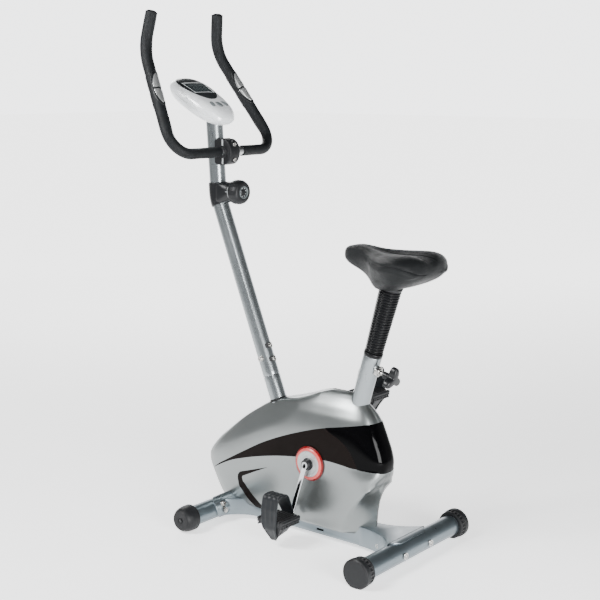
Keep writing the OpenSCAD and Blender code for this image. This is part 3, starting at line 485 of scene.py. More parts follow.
# ---------------------------------------------------------------- places, in millimetres
FRONT, REAR, AXLE = 203.0, -339.0, 33.0
MAST_BEND = Vector((258, 0, 825))
LEAN, TOP_LEAN, SEAT_LEAN = (radians(a) for a in (21.6, 3.8, 16.4))
CRANK = Vector((-85, 0, 202))
CRANK_REACH, CRANK_ANGLE = 148, radians(72)
CRANK_END = Vector((CRANK_REACH * cos(CRANK_ANGLE), 0, -CRANK_REACH * sin(CRANK_ANGLE)))
PEDAL_Y = 122
MAST_R, SEAT_R, FOOT_R, FOOT_HALF = 21.0, 22.5, 25.5, 182


def mast_at(z):
    return Vector((258 + (z - 825) * tan(LEAN if z < 825 else TOP_LEAN), 0, z))


def seat_at(z):
    return Vector((-193 - (z - 360) * tan(SEAT_LEAN), 0, z))


SEAT_UP = Vector((-sin(SEAT_LEAN), 0, cos(SEAT_LEAN)))
SEAT_BACK = Vector((-cos(SEAT_LEAN), 0, -sin(SEAT_LEAN)))
MAST_UP = Vector((sin(LEAN), 0, cos(LEAN)))
MAST_BACK = Vector((-cos(LEAN), 0, sin(LEAN)))

# ---------------------------------------------------------------- frame tubes
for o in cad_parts.values():
    o.data.shade_smooth()
    o.data.set_sharp_from_angle(angle=radians(30))

# silver: the darker copy of the silver coat, painted shade on the low frame
CAD_LOOKS = {
    "silver": ("main_beam", "bottom_bracket", "flywheel_fork"), "iron": ("flywheel",), "magnet": ("brake_magnets",),
    "steel": ("crank_bearings", "flywheel_axle", "brake_pivot", "crank_axle", "pedal_spindles", "magnet_bracket"),
    "black": ("drive_pulley", "seat_bushing", "front_foot_plugs", "saddle_pan"), "belt": ("drive_belt",),
    "zinc": ("shroud_screws", "clamp_screws", "mast_screws", "stabilizer_bolts"), "rubber": ("tension_cable",),
    "chrome": ("seat_post",), "board": ("console_board",), "bar": ("handlebar",)}
for look, nodes in CAD_LOOKS.items():
    for node in nodes:
        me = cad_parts[node].data
        me.materials.clear()
        me.materials.append(M[look])

# tube: the lighter copy of the silver coat, painted light on the mast
mast_path = rounded([mast_at(386.4), MAST_BEND, mast_at(1036)], 100, n=24)
piece("mast_tube", swept(resample(mast_path, 12), MAST_R, 64, wall=2.0), "frame", "tube", ["mast"])
piece("mast_stub", merge(straight(mast_at(53), mast_at(385.6), MAST_R),
    straight(mast_at(378), mast_at(478), 18.9, 48, 1.8)), "frame", "tube", ["mast_socket"])
gasket = swept([mast_at(331) + MAST_UP * h for h in (-7, -4.5, -2.5, -0.5)], lambda s: 22.3 + 1.2 * (1 - s), 64,
    wall=1.5, end_round=0.8)
piece("mast_gasket_ring", gasket, "frame", "rubber", ["mast_gasket"])

nut_at = seat_at(452)
hexagon = [(13.8 * cos(a), 13.8 * sin(a)) for a in (PI / 3 * i for i in range(6))]
# tube: painted light on the seat tube, a lighter copy of the silver coat
piece("seat_tube_post", straight(seat_at(53), seat_at(482), SEAT_R), "frame", "tube", ["seat_tube"])
piece("seat_pin_nut", prism(hexagon, SEAT_BACK, 20.5, 29.5, nut_at), "frame", "zinc", sharp=20, bevel=1.1,
    segments=3)
piece("seat_pin_thread", spun([(5.2, 20), (9.4, 20), (9.4, 30.6), (8.6, 31.2), (9.2, 31.8), (8.6, 32.6),
    (5.2, 32.6)], 0.25, nut_at, SEAT_BACK, 48), "frame", "zinc")

# silver: painted shade on the stabilizers, a darker copy of the silver coat
for name, x in (("front", FRONT), ("rear", REAR)):
    ends = (Vector((x, y, AXLE)) for y in (-FOOT_HALF, FOOT_HALF))
    piece(name + "_stabilizer_tube", straight(*ends, FOOT_R, 72), "frame", "silver", [name + "_stabilizer"])


def flare(x0, x1, half0, half1, power=2.6, n=18):
    """Plan outline that widens in two concave curves from x0 to x1."""
    side = [(x0 + (x1 - x0) * i / n, half0 + (half1 - half0) * (i / n) ** power) for i in range(n + 1)]
    return side + [(x, -y) for x, y in reversed(side)]


def bracket(x0, x1, half0, half1, top, wall=3.0, foot=12):
    """Flared web, open below, with a rolled top edge."""
    outer, inner = flare(x0, x1, half0, half1), flare(x0, x1, half0 - 1.2, half1 - wall)
    trim = flare(x0, x1, half0 - 2.2, half1 - 2.5)
    rings = [[Vector((x, y, top - 2.2)) for x, y in inner], [Vector((x, y, foot)) for x, y in inner],
        [Vector((x, y, foot)) for x, y in outer], [Vector((x, y, top - 2.4)) for x, y in outer]]
    for a in (0.5, 1.0):
        rings.append([Vector((o[0], o[1] + (i[1] - o[1]) * (1 - cos(a * PI / 2)),
            top - 2.4 * (1 - sin(a * PI / 2)))) for o, i in zip(outer, trim)])
    return loft(rings)


def saddle_plate(x, half, start, stop, r0=25.7, r1=28.6, n=26):
    """Curved plate on a stabilizer, with its ends rounded in plan."""
    rings = []
    for i in range(n + 1):
        share = i / n
        a = radians(start + (stop - start) * share)
        reach = half - 22 * (2 * abs(share - 0.5)) ** 3
        c, s = cos(a), sin(a)
        rings.append([Vector((x + r * c, y, AXLE + r * s)) for r, y in ((r0, -reach), (r1 - 0.7, -reach),
            (r1, -reach + 0.9), (r1, reach - 0.9), (r1 - 0.7, reach), (r0, reach))])
    return loft(rings)


# silver: painted shade on the brackets, a darker copy of the silver coat
piece("rear_bracket_plate", merge(bracket(-212, REAR + 9, 26.4, 78, 61.0), saddle_plate(REAR, 72, -38, 112)),
    "frame", "silver", ["rear_bracket"], sharp=40)
piece("front_bracket_plate", merge(bracket(96, FRONT - 9, 26.4, 88, 54.5), saddle_plate(FRONT, 111, 78, 232)),
    "frame", "silver", ["front_bracket"], sharp=40)


# ---------------------------------------------------------------- fasteners
def cap_screw(at, axis, r, h, socket=None, socket_depth=1.6):
    """Domed head with a socket, standing on the plane through at."""
    k = socket or r * 0.45
    return spun([(0, 0.2), (r, 0), (r, h * 0.55), (r * 0.8, h), (k, h), (k, h - socket_depth),
        (0, h - socket_depth)], min(0.8, r * 0.2), at, axis, 40)


def washer_plate(at, axis, across, thick, high=15):
    """Curved washer that hugs the mast."""
    u, v, w = basis(axis, MAST_UP)
    rings = []
    for i in range(15):
        a = (i / 14 - 0.5) * 2
        half = across / 2 * a / MAST_R
        tall = high / 2 * sqrt(max(0.0, 1 - 0.55 * a * a))
        d = w * cos(half) + v * sin(half)
        rings.append([Vector(at) + d * r + u * t for r, t in ((MAST_R + 0.05, -tall), (MAST_R + thick, -tall + 0.5),
            (MAST_R + thick, tall - 0.5), (MAST_R + 0.05, tall))])
    return loft(rings)


for i, z in enumerate((455, 422)):
    p = mast_at(z)
    piece(f"mast_washer_{i}", washer_plate(p, MAST_BACK, 25, 2.0), "frame", "satin")
    piece(f"mast_screw_head_{i}", cap_screw(p + MAST_BACK * 22.6, MAST_BACK, 5.6, 4.6), "frame", "zinc")
for s, side in SIDES:
    p = mast_at(430)
    piece("mast_washer_" + side, washer_plate(p, Y * s, 15, 1.2), "frame", "zinc")
    piece("mast_screw_head_" + side, cap_screw(p + Y * s * 22.0, Y * s, 5.6, 4.6), "frame", "zinc")
    piece("rear_bolt_head_" + side, cap_screw(Vector((REAR - 25.4, 53 * s, AXLE)), -X, 6.6, 3.6), "frame", "zinc")
    tilt = Vector((-0.86, 0, 0.5)).normalized()
    at = Vector((FRONT, 85 * s, AXLE)) + tilt * 28.4
    piece("front_bolt_head_" + side, merge(spun([(0, -0.4), (8.2, -0.4), (8.2, 1.3), (0, 1.3)], 0.4, at, tilt, 40),
        cap_screw(at + tilt * 1.2, tilt, 6.2, 5.2)), "frame", "zinc")
    piece("rear_side_bolt_" + side, cap_screw(Vector((-272, 30.5 * s, 28)), Vector((0.35, s, 0)).normalized(), 6.4,
        5), "frame", "zinc")


# ---------------------------------------------------------------- feet
def flat_bottom(shape):
    verts, faces = shape
    return [Vector((v[0], v[1], max(v[2], 0.0))) for v in verts], faces


for s, side in SIDES:
    at = Vector((REAR, 0, AXLE))
    shell = spun([(0, 158), (23.3, 158), (23.3, 182.3), (30.5, 182.3), (33.8, 184), (33.8, 187), (31.2, 188.5),
        (31.2, 198.5), (34.6, 200), (35.6, 202), (35.6, 213), (32, 216), (0, 215.2)], 0.9, at, Y * s, 96)
    ribs = []
    lo, hi = 31.0, 33.9
    for a in turn(22):
        c, t = Vector((cos(a), 0, sin(a))), Vector((-sin(a), 0, cos(a)))
        pts = [at + c * r + t * w + Y * s * y for y in (187.6, 199.4) for r, w in ((lo, -1.5), (hi, -1.1),
            (hi, 1.1), (lo, 1.5))]
        ribs.append(six_sided(pts))
    piece("rear_cap_body_" + side, flat_bottom(merge(shell, *ribs)), "rear_cap_" + side[0], "black",
        ["rear_cap_" + side], sharp=38)

    at = Vector((FRONT, 0, AXLE))
    barrel = spun([(5.06, 184.6), (26.4, 184.6), (26.4, 175), (29.5, 174), (32.9, 178), (33.0, 186), (32.6, 194),
        (31.4, 202), (29.2, 209), (25.6, 214.5), (24, 216), (8, 216), (8, 214.6), (5.06, 214.6)], 1.2, at, Y * s,
        96)
    piece("front_roller_body_" + side, barrel, "roller_" + side[0], "black", ["roller_" + side])
    piece("front_roller_pin_" + side, cap_screw(at + Y * s * 213.6, Y * s, 4.4, 2.6, 1.6, 0.8), "frame", "zinc")

# ---------------------------------------------------------------- shroud
# Height, rear tip, front tip, half width of each level
LEVELS = [(40, -238, 243, 41), (44, -240, 246, 44), (50, -243, 252, 47), (70, -246, 264, 51), (95, -248, 277, 54),
    (122, -252, 290, 55.5), (138, -256, 293, 56), (152, -260, 291, 56.5), (172, -263, 278, 57),
    (198, -276, 254, 57), (223, -281, 224, 57), (249, -276, 192, 56.5), (275, -266, 157, 55), (300, -256, 118, 52),
    (322, -247, 80, 47), (338, -237, 38, 40), (352, -224, -12, 33), (364, -210, -50, 25), (374, -192, -78, 17),
    (381, -175, -100, 9), (384.5, -158, -118, 0.6)]


def smooth_min(a, b, k):
    h = max(k - abs(a - b), 0.0) / k
    return min(a, b) - h * h * k * 0.25


# The character line along the top of each side: as (x, height)
TOP_LINE = [(-150, 424), (-124, 390), (-100, 361), (-78, 339), (-58, 324), (5, 286), (62, 257), (103, 232),
    (172, 186), (222, 150), (300, 93)]
# The line of the lower rear corner, as (height, x)
LOW_LINE = [(40, -176), (50, -180), (83, -196), (114, -214), (146, -238), (166, -258), (185, -285), (210, -330)]


def rear_power(z):
    """How square the rear of the shroud is at a height: boxy low down, round behind the visor."""
    return 3.0 + 6.0 * ramp(z, 215, -60) ** 1.5


def level(z):
    """Rear tip, front tip, half width and widest place of the shroud at a height."""
    rear, front, half = (table(LEVELS, z, c) for c in (1, 2, 3))
    return rear, front, half, max(min(-94.0, front - 20), rear + 20)


def half_width(x, z):
    """Half thickness of the shroud at a point of its side view."""
    rear, front, half, middle = level(z)
    if x > middle:
        t, n = (x - middle) / (front - middle), 2.3
    else:
        t, n = (middle - x) / (middle - rear), rear_power(z)
    y = half * max(0.0, 1 - min(t, 1.0) ** n) ** (1 / n)
    crease = table(TOP_LINE, x, 1)
    upper = 53.0 - (z - crease) * 0.50
    y = smooth_min(y, max(upper, y * 0.45), 2.5)
    corner = table(LOW_LINE, z, 1)
    if corner > rear + 3:
        # one plane from the corner line back to the rear edge
        lower = (half - 2.5) * min(1.6, max(0.0, (x - rear + 2) / (corner - rear + 2)))
        y = smooth_min(y, lower, 1.6)
    dx, dz = (x + 62) / 62, (z - 118) / 72
    y -= 3.2 * exp(-(dx * dx + dz * dz) * 1.6)
    return y


def loop_point(a, z, side=1):
    """Point of the shroud's outline at height z. a runs from 0 at the nose to pi at the rear."""
    rear, front, _, middle = level(z)
    c = cos(a)
    if c > 0:
        x = middle + (front - middle) * c ** (2 / 2.3)
    else:
        x = middle - (middle - rear) * (-c) ** (2 / rear_power(z))
    y = 0.0 if abs(c) > 0.9999 else half_width(x, z)
    return Vector((x, y * side, z))


def spread_angles(n):
    """Loop angles with the points gathered at the nose and the rear, where the outline turns."""
    return [PI * (0.5 - 0.5 * cos(PI * i / n)) * 0.55 + PI * i / n * 0.45 for i in range(n + 1)]


def shell(side, around=110, levels=120):
    """One half of the shroud, from its lower edge to its top, as a single skin."""
    top = LEVELS[-1][0]
    heights = [40 + (top - 40) * sin(PI / 2 * i / levels) ** 0.9 for i in range(levels + 1)]
    grid = [[loop_point(a, z, side) for a in spread_angles(around)] for z in heights]
    return [v for row in grid for v in row], grid_faces(levels, around)


for s, side in SIDES:
    o = piece("shroud_shell_" + side, shell(s), "frame", "shroud", ["shroud_" + side], sharp=50)
    # the seam: each half stops a hair short of the centre plane
    for v in o.data.vertices:
        if abs(v.co.y) < 0.0004:
            v.co.y = 0.00035 * s
    face = max(o.data.polygons, key=lambda f: abs(f.center.y))
    if face.normal.y * s < 0:
        o.data.flip_normals()
    solid = o.modifiers.new("wall", "SOLIDIFY")
    solid.thickness, solid.offset, solid.use_even_offset = 0.0025, -1.0, False


def skin_patch(columns, rows, at, lift=0.35, sink=0.6):
    """Closed thin film over the shroud. at(u, v) gives a point of the skin with its outward direction."""
    top, low = [], []
    for i in range(columns + 1):
        for j in range(rows + 1):
            p, d = at(i / columns, j / rows)
            top.append(p + d * lift)
            low.append(p - d * sink)
    k = rows + 1
    faces = grid_faces(columns, rows)
    n = len(top)
    faces += [tuple(x + n for x in reversed(f)) for f in faces]
    rim = ([(i * k, (i + 1) * k) for i in range(columns)]
        + [(columns * k + j, columns * k + j + 1) for j in range(rows)]
        + [((i + 1) * k + rows, i * k + rows) for i in range(columns)]
        + [(j + 1, j) for j in range(rows)])
    faces += [(a, b, b + n, a + n) for a, b in rim]
    return top + low, faces


def side_skin(x, z, side):
    e = 1.0
    p = Vector((x, half_width(x, z) * side, z))
    slope_x = (half_width(x + e, z) - half_width(x - e, z)) / (2 * e)
    slope_z = (half_width(x, z + e) - half_width(x, z - e)) / (2 * e)
    return p, Vector((-slope_x, side, -slope_z)).normalized()


def curve(rows):
    """Height at x on a smooth line through (x, height) rows."""
    ordered = sorted(rows)
    return lambda x: table(ordered, x, 1)


SWOOSH_TOP = curve([(262, 116), (236, 133), (190, 159), (142, 186), (74, 223), (-1, 256), (-77, 283), (-130, 298),
    (-172, 306), (-200, 307)])
SWOOSH_LOW = curve([(262, 115), (236, 129), (200, 147), (165, 161), (96, 182), (25, 199), (-42, 210), (-90, 215),
    (-135, 218), (-174, 216), (-205, 212)])
PANEL_EDGE = [(200, -226), (216, -221), (228, -216), (240, -209), (254, -199), (268, -184), (280, -163),
    (290, -140), (298, -128), (312, -120)]


def swoosh(side):
    def at(u, v):
        x = 262 - (262 + 168) * u ** 0.85
        low, top = SWOOSH_LOW(x), SWOOSH_TOP(x)
        z = low + (top - low) * v
        if u > 0.6:
            reach = table(PANEL_EDGE, z, 1) - 1.0
            late = (u - 0.6) / 0.4
            x += (min(x, reach) - x) * late ** 2 + (reach - x) * max(0, late) ** 4
            low, top = SWOOSH_LOW(x), SWOOSH_TOP(x)
            z = low + (top - low) * v
        return side_skin(x, z, side)
    return skin_patch(110, 22, at)


def boomerang(side):
    corners = ((56, 162), (101, 144), (157, 121), (152, 98), (122, 68), (86, 40))
    centre = rounded([Vector((x, 0, z)) for x, z in corners], [0, 60, 14, 14, 60, 0], n=10)
    centre = resample(centre, 4)

    def at(u, v):
        f = u * (len(centre) - 1)
        i = min(int(f), len(centre) - 2)
        p = centre[i].lerp(centre[i + 1], f - i)
        d = heading(centre, i).lerp(heading(centre, i + 1), f - i).normalized()
        half = 11.5 * min(1.0, (u / 0.6) ** 1.1) + 0.25
        q = p + Vector((-d.z, 0, d.x)) * half * (2 * v - 1)
        return side_skin(q.x, max(q.z, 41), side)
    return skin_patch(90, 4, at)


for s, side in SIDES:
    piece("swoosh_film_" + side, swoosh(s), "frame", "swoosh", sharp=60)
    piece("boomerang_film_" + side, boomerang(s), "frame", "swoosh", sharp=60)


def visor():
    """Gloss panel that wraps round the rear. u goes from the left edge to the right one."""
    def at(u, v):
        s = 2 * u - 1
        side = 1 if s < 0 else -1
        k = abs(s)
        top = 320.5 - 22.5 * k ** 2.4
        low = 204 + 7 * k
        z = low + (top - low) * v
        edge = table(PANEL_EDGE, z, 1)
        rear, _, _, middle = level(z)
        c = -((middle - min(edge, middle - 1)) / (middle - rear)) ** (rear_power(z) / 2)
        a_edge = acos(max(-1.0, c))
        a = PI + (a_edge - PI) * k
        p = loop_point(a, z, side)
        e = 0.02
        pa, pb = loop_point(min(a + e, PI), z, side), loop_point(a - e, z, side)
        pc, pd = loop_point(a, z + 1, side), loop_point(a, z - 1, side)
        d = (pa - pb).cross(pc - pd).normalized()
        if k < 0.02:
            d = Vector((-1, 0, (table(LEVELS, z + 1, 1) - table(LEVELS, z - 1, 1)) / 2)).normalized()
        if d.dot(Vector((-0.3, side * (0.05 + k), 0))) < 0:
            d = -d
        return p, d
    return skin_patch(96, 40, at, lift=0.9, sink=0.8)


piece("rear_visor", visor(), "frame", "gloss", ["rear_panel"], sharp=60)


# ---------------------------------------------------------------- crank set
for s, side in SIDES:
    axis = Y * s
    end = CRANK + CRANK_END * s
    piece("crank_ring_" + side, spun([(30, 59), (43, 59), (43, 60.4), (38.5, 62.6), (30, 62.6)], 0.5, CRANK, axis,
        96), "crank", "red", ["crank_discs"])
    # the rim is red plastic painted pale pink: painted reddish reflection
    piece("crank_rim_" + side, spun([(30, 61), (39.2, 61), (39.2, 63.4), (36.4, 65.4), (33, 65.8), (30, 64)], 0.6,
        CRANK, axis, 96), "crank", "pink")
    piece("crank_cover_" + side, spun([(9, 61), (33.4, 61), (33.4, 65.4), (31, 66), (26, 66), (24.6, 65.4),
        (19.5, 65.4), (18.4, 66), (9, 66)], 0.45, CRANK, axis, 96), "crank", "disc")
    dots = []
    for j in range(6):
        a = PI / 3 * j + 0.3
        dots.append(cap_screw(CRANK + axis * 65.2 + Vector((cos(a), 0, sin(a))) * 28.6, axis, 1.9, 1.1, 0.8, 0.6))
    piece("crank_cover_studs_" + side, merge(*dots), "crank", "zinc")
    piece("crank_hub_" + side, spun([(9, 62), (15.4, 62), (15.4, 66.6), (13.4, 68), (9, 68)], 0.7, CRANK, axis, 64),
        "crank", "satin")
    # tapered arm between two eyes
    d = (end - CRANK).normalized()
    a0 = atan2(d.z, d.x) - PI / 2
    outline = []
    for centre, r, start in ((end, 5.6, a0), (CRANK, 6.8, a0 + PI)):
        outline += [(centre.z - CRANK.z + r * sin(start + PI * i / 24),
            centre.x - CRANK.x + r * cos(start + PI * i / 24)) for i in range(25)]
    y0, y1 = (71.5, 79.0) if s > 0 else (-79.0, -71.5)
    piece("crank_arm_" + side, prism(outline, Y, y0, y1, CRANK, Z), "crank", "chrome", ["crank_arms"], sharp=40,
        bevel=2.8, segments=4)
    piece("crank_eye_" + side, spun([(8.6, 67.5), (12.6, 67.5), (12.6, 76.4), (11.2, 77.8), (8.6, 77.8)], 0.9,
        CRANK, axis, 64), "crank", "satin")
    piece("crank_nut_cap_" + side, spun([(0, 70), (8.62, 70), (8.62, 77.6), (6, 78.2), (0, 78.4)], 0.8, CRANK, axis,
        48), "crank", "satin")
    piece("pedal_eye_" + side, spun([(6.1, 68), (9.8, 68), (9.8, 80.6), (6.1, 80.6)], 1.0, end, axis, 48), "crank",
        "chrome")
    piece("spindle_flange_" + side, spun([(6.1, 80), (8.4, 80), (8.4, 84), (7.2, 85), (6.1, 85)], 0.6, end, axis,
        40), "crank", "zinc")

# ---------------------------------------------------------------- pedals and straps
def wedge_section(x_top, z_top, z_side, x_low, z_low, r=2.0, cut=6):
    corners = [(-x_top, z_top), (-x_top, z_side), (-x_low - 3, z_low + 4), (-x_low, z_low), (x_low, z_low),
        (x_low + 3, z_low + 4), (x_top, z_side), (x_top, z_top)]
    return rounded_flat(corners, r, cut)


def pedal_block(at, s, x_top, z_top, z_side, stations):
    """Loft of wedge sections along Y. Each station is (y outwards from the middle, depth, trim of the sides)."""
    rings = []
    for y, depth, trim in stations:
        rings.append([at + Vector((x, y * s, z)) for x, z in wedge_section(x_top - trim, z_top - trim * 0.5, z_side,
            5.5, depth)])
    return loft(rings)


for s, side in SIDES[::-1]:
    at = CRANK + (CRANK_END + Y * PEDAL_Y) * s
    body = [pedal_block(at, s, 34.5, 9, 1, [(-33.5, -10, 1.5), (-32.5, -13, 0.3), (-20, -24, 0), (0, -34, 0),
        (12, -39, 0), (19, -38.5, 0), (27, -25, 0), (32.5, -11, 0.3), (33.5, -8, 1.5)])]
    for y, depth in ((-33.4, -15), (-17, -28), (17, -42), (33, -12)):
        body.append(pedal_block(at, s, 37.5, 11.5, 2, [(y - 1.5, depth, 1.0), (y - 1.1, depth, 0),
            (y + 1.1, depth, 0), (y + 1.5, depth, 1.0)]))
    for x in (-36, -27, -18, -9, 0, 9, 18, 27, 36):
        rings = []
        for y, inset in ((-35, 1.2), (-34.5, 0.3), (-33.5, 0), (33.5, 0), (34.5, 0.3), (35, 1.2)):
            w2, h2 = 2.5 - inset * 0.6, 15.0 - inset
            rings.append([at + Vector((x + dx * w2, y, z)) for dx, z in ((-1.2, 6), (-1, h2 - 1.0), (-0.6, h2),
                (0.6, h2), (1, h2 - 1.0), (1.2, 6))])
        body.append(loft(rings))
        if abs(x) < 36:
            for y in range(-28, 32, 8):
                body.append(six_sided([at + Vector((x + a * 1.7, y + b * 1.2, z))
                    for z in (14.0, 15.9) for a, b in ((-1, -1), (1, -1), (1, 1), (-1, 1))]))
    for x in (-1, 1):
        for y in (-29, -22, -11, -4, 4, 11, 22, 29):
            inner, outer = 33.0 * x, 39.4 * x
            body.append(box(at + Vector((min(inner, outer), y - 1.5, -2.5)),
                at + Vector((max(inner, outer), y + 1.5, 10))))
        for x_rail, z_rail, r in ((38.4, 11, 2.8), (38.4, 4.2, 1.9), (36.8, -2.4, 2.2)):
            rail = [at + Vector((x * x_rail, y, z_rail)) for y in (-34, -17, 0, 17, 34)]
            body.append(swept(rail, r, 16, end_round=1.1))
    piece("pedal_body_" + side, merge(*body), "pedal_" + side[0], "black", ["pedal_" + side],
        sharp=38)
    panel = []
    for x in (-1, 1):
        upper = [at + Vector((x * 32.0, y * s, -2.5)) for y in (-14.5, 14.5)]
        lower = [at + Vector((x * 9.5, 14.5 * s, -33)), at + Vector((x * 12.5, -14.5 * s, -25))]
        out = Vector((x * 0.8, 0, -0.6))
        panel.append(six_sided([p + out * h for h in (-1.5, 1.2) for p in upper + lower]))
    piece("pedal_panel_" + side, merge(*panel), "pedal_" + side[0], "strap", sharp=30,
        bevel=0.8, segments=3)

    # strap: an arch that runs down the outer end to the lowest point of the wedge
    path = rounded([at + Vector((0, y * s, z)) for y, z in ((17, -43.5), (36.4, -8), (37.0, 13), (36.4, 38),
        (30, 71), (12, 73), (-8, 71), (-20, 46), (-35.0, 18), (-36.6, -3))], [0, 18, 30, 40, 15, 0, 17, 30, 24, 0],
        n=9)
    path = resample(path, 2.5)
    lengths = distances(path)
    total = lengths[-1]
    WIDTHS = [(0, 6), (5, 9.5), (34, 18.5), (46, 22.5), (60, 24), (85, 24.6), (125, 24), (165, 23), (205, 20.5),
        (235, 16), (250, 14), (total, 14)]
    rings = []
    for i, p in enumerate(path):
        d = heading(path, i)
        out = d.cross(X) * s
        if out.dot(p - (at + Vector((0, 0, 40)))) < 0:
            out = -out
        half = table(WIDTHS, lengths[i], 1)
        edge = min(lengths[i], total - lengths[i]) / 1.5
        shrink = 1.0 if edge > 1 else 0.4 + 0.6 * sqrt(max(0.0, edge))
        raised = 2.1 + 0.8 * (ramp(lengths[i], 48, 16) * min(1.0, max(0.0, (total - lengths[i] - 30) / 20)))
        prof = [(-1, 0.0), (-1, 1.8), (-0.97, 2.6), (-0.90, 3.1), (-0.80, 2.9), (-0.70, 2.1), (-0.46, 2.1),
            (-0.36, raised), (-0.26, raised), (-0.16, 2.1), (0.16, 2.1), (0.26, raised), (0.36, raised),
            (0.46, 2.1), (0.70, 2.1), (0.80, 2.9), (0.90, 3.1), (0.97, 2.6), (1, 1.8), (1, 0.0), (0.5, -0.3),
            (0, -0.3), (-0.5, -0.3)]
        rings.append([p + X * (u * half) + out * (h * shrink - 1.2) for u, h in prof])
    piece("foot_strap_" + side, loft(rings), "pedal_" + side[0], "strap", ["strap_" + side], sharp=50)
    buckle = [six_sided([at + Vector((x, (-40.2 + o) * s, z)) for o in (0, 2.2) for x, z in ((cx - 5, 12),
        (cx + 5, 12), (cx + 4, 18), (cx - 4, 18))]) for cx in (-13, 13)]
    piece("strap_buckle_" + side, merge(*buckle), "pedal_" + side[0], "zinc", bevel=0.6)

# ---------------------------------------------------------------- seat pin
pu, pv, pw = basis(SEAT_BACK, SEAT_UP)
knob_rings = []
for h, k, fill in ((59.4, 0.5, 0.3), (59.4, 0.78, 0.14), (60, 0.92, 0.04), (61.6, 0.985, 0), (64.5, 1.0, 0),
        (71.5, 1.0, 0), (74.5, 0.985, 0), (76.4, 0.93, 0.03), (77.6, 0.84, 0.08), (78.3, 0.66, 0.2),
        (78.6, 0.4, 0.5)):
    ring = []
    for a in turn(120):
        lobe = (0.5 + 0.5 * cos(3 * a)) ** 1.25
        r = (12.4 + 17.6 * lobe) * k
        r = r * (1 - fill) + 11 * k * fill
        ring.append(nut_at + pw * h + (pu * cos(a) + pv * sin(a)) * r)
    knob_rings.append(ring)
piece("seat_pin_knob", loft(knob_rings), "seat_pin_body", "satin", ["seat_pin"], sharp=50)
piece("seat_pin_neck", spun([(0, 42.6), (8.4, 42.6), (8.8, 52), (11.5, 60.5), (0, 60.5)], 1.0, nut_at, SEAT_BACK,
    48), "seat_pin_body", "satin")
piece("seat_pin_shank", spun([(0, 19.6), (4.9, 19.6), (4.9, 43.5), (0, 43.5)], 0.5, nut_at, SEAT_BACK, 40),
    "seat_pin_body", "zinc")

# ---------------------------------------------------------------- bellows
base, head = seat_at(486), seat_at(646)
length = (head - base).length
ribs = 24
bellows = [(19.2, -2.0), (22.6, -2.0), (23.2, -1.2), (23.2, 4.2), (22.4, 5.2)]
start_ribs, stop_ribs = 6.0, length - 1.0
pitch = (stop_ribs - start_ribs) / ribs
for i in range(ribs):
    for f, k in ((0.0, 0.0), (0.16, 0.10), (0.3, 0.55), (0.42, 0.93), (0.5, 1.0), (0.58, 0.93), (0.7, 0.55),
            (0.84, 0.10)):
        h = start_ribs + (i + f) * pitch
        r = 22.2 + 4.9 * h / length
        bellows.append((r - 3.1 * (1 - k), h))
bellows += [(24.0, stop_ribs), (26.6, length - 0.4), (26.6, length + 3), (19.6, length + 3)]
o = piece("seat_bellows", turned(bellows, base, SEAT_UP, 72), None, "bellows", ["bellows"],
    sharp=75)
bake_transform(o)

# ---------------------------------------------------------------- saddle
# Station, half width, top, depth of the middle channel, underside, half width of the underside
SADDLE = [(-151.5, 4, 722, 0, 715, 1), (-153, 11, 728.5, 0, 709, 4), (-159, 20, 735, 0, 702, 8),
    (-170, 26.5, 740, 0, 695.5, 10), (-188, 30, 742.5, 0, 688.5, 12), (-206, 33, 741.2, 0, 681, 13),
    (-222, 38, 738.8, 0.4, 671.5, 15), (-236, 45, 736.5, 1.2, 660, 18), (-248, 54, 734.8, 2.2, 650.5, 23),
    (-262, 66, 733.5, 3.4, 647, 31), (-280, 79, 732.8, 4.6, 646.5, 34), (-298, 89.5, 733, 5.6, 648.0, 34),
    (-312, 96, 733.4, 6.2, 650, 38), (-330, 100.5, 734, 6.6, 655.5, 46), (-350, 101, 734.0, 6.4, 663, 50),
    (-367, 95.0, 731.4, 5.6, 671, 48), (-379, 84, 727, 4.2, 677.5, 42), (-387, 67, 721.5, 2.8, 684.5, 33),
    (-392, 44, 714, 1.2, 692, 20), (-394.4, 12, 707, 0, 701, 5)]
SADDLE_X = sorted(SADDLE)


def saddle_ring(x):
    """Cross-section of the saddle: a smooth closed curve through points of its outline."""
    w, top, dip, low, flat = (table(SADDLE_X, x, c) for c in (1, 2, 3, 4, 5))
    wide = ramp(w, 34, 45)
    tall = top - low
    drop = (6 + 7 * wide) * min(1.0, tall / 34)
    side_z = top - (20 + 7 * wide) * min(1.0, tall / 38)
    pts = [(0, top - dip), (0.16 * w, top - dip * 0.8), (0.40 * w, top + 0.4), (0.62 * w, top - 0.8),
        (0.80 * w, top - drop * 0.42), (0.925 * w, top - drop), (0.955 * w, top - drop - 4.5 * wide - 1.0),
        (1.0 * w, side_z - 2), (0.965 * w, side_z - 10 * min(1, tall / 50)),
        (flat + (w - flat) * 0.66, low + (side_z - low) * 0.36), (flat + (w - flat) * 0.30,
        low + (side_z - low) * 0.10), (flat * 0.9, low), (0, low)]
    loop = pts + [(-y, z) for y, z in pts[-2:0:-1]]
    k = len(loop)
    out = []
    for i in range(k):
        p0, p1, p2, p3 = (loop[(i + j) % k] for j in (-1, 0, 1, 2))
        for t in (0, 0.25, 0.5, 0.75):
            out.append(Vector((x, *[0.5 * (2 * p1[c] + (p2[c] - p0[c]) * t
                                           + (2 * p0[c] - 5 * p1[c] + 4 * p2[c] - p3[c]) * t * t
                                           + (3 * p1[c] - p0[c] - 3 * p2[c] + p3[c]) * t ** 3) for c in (0, 1)])))
    return out


def groove(d, width):
    return exp(-(d / width) ** 2)


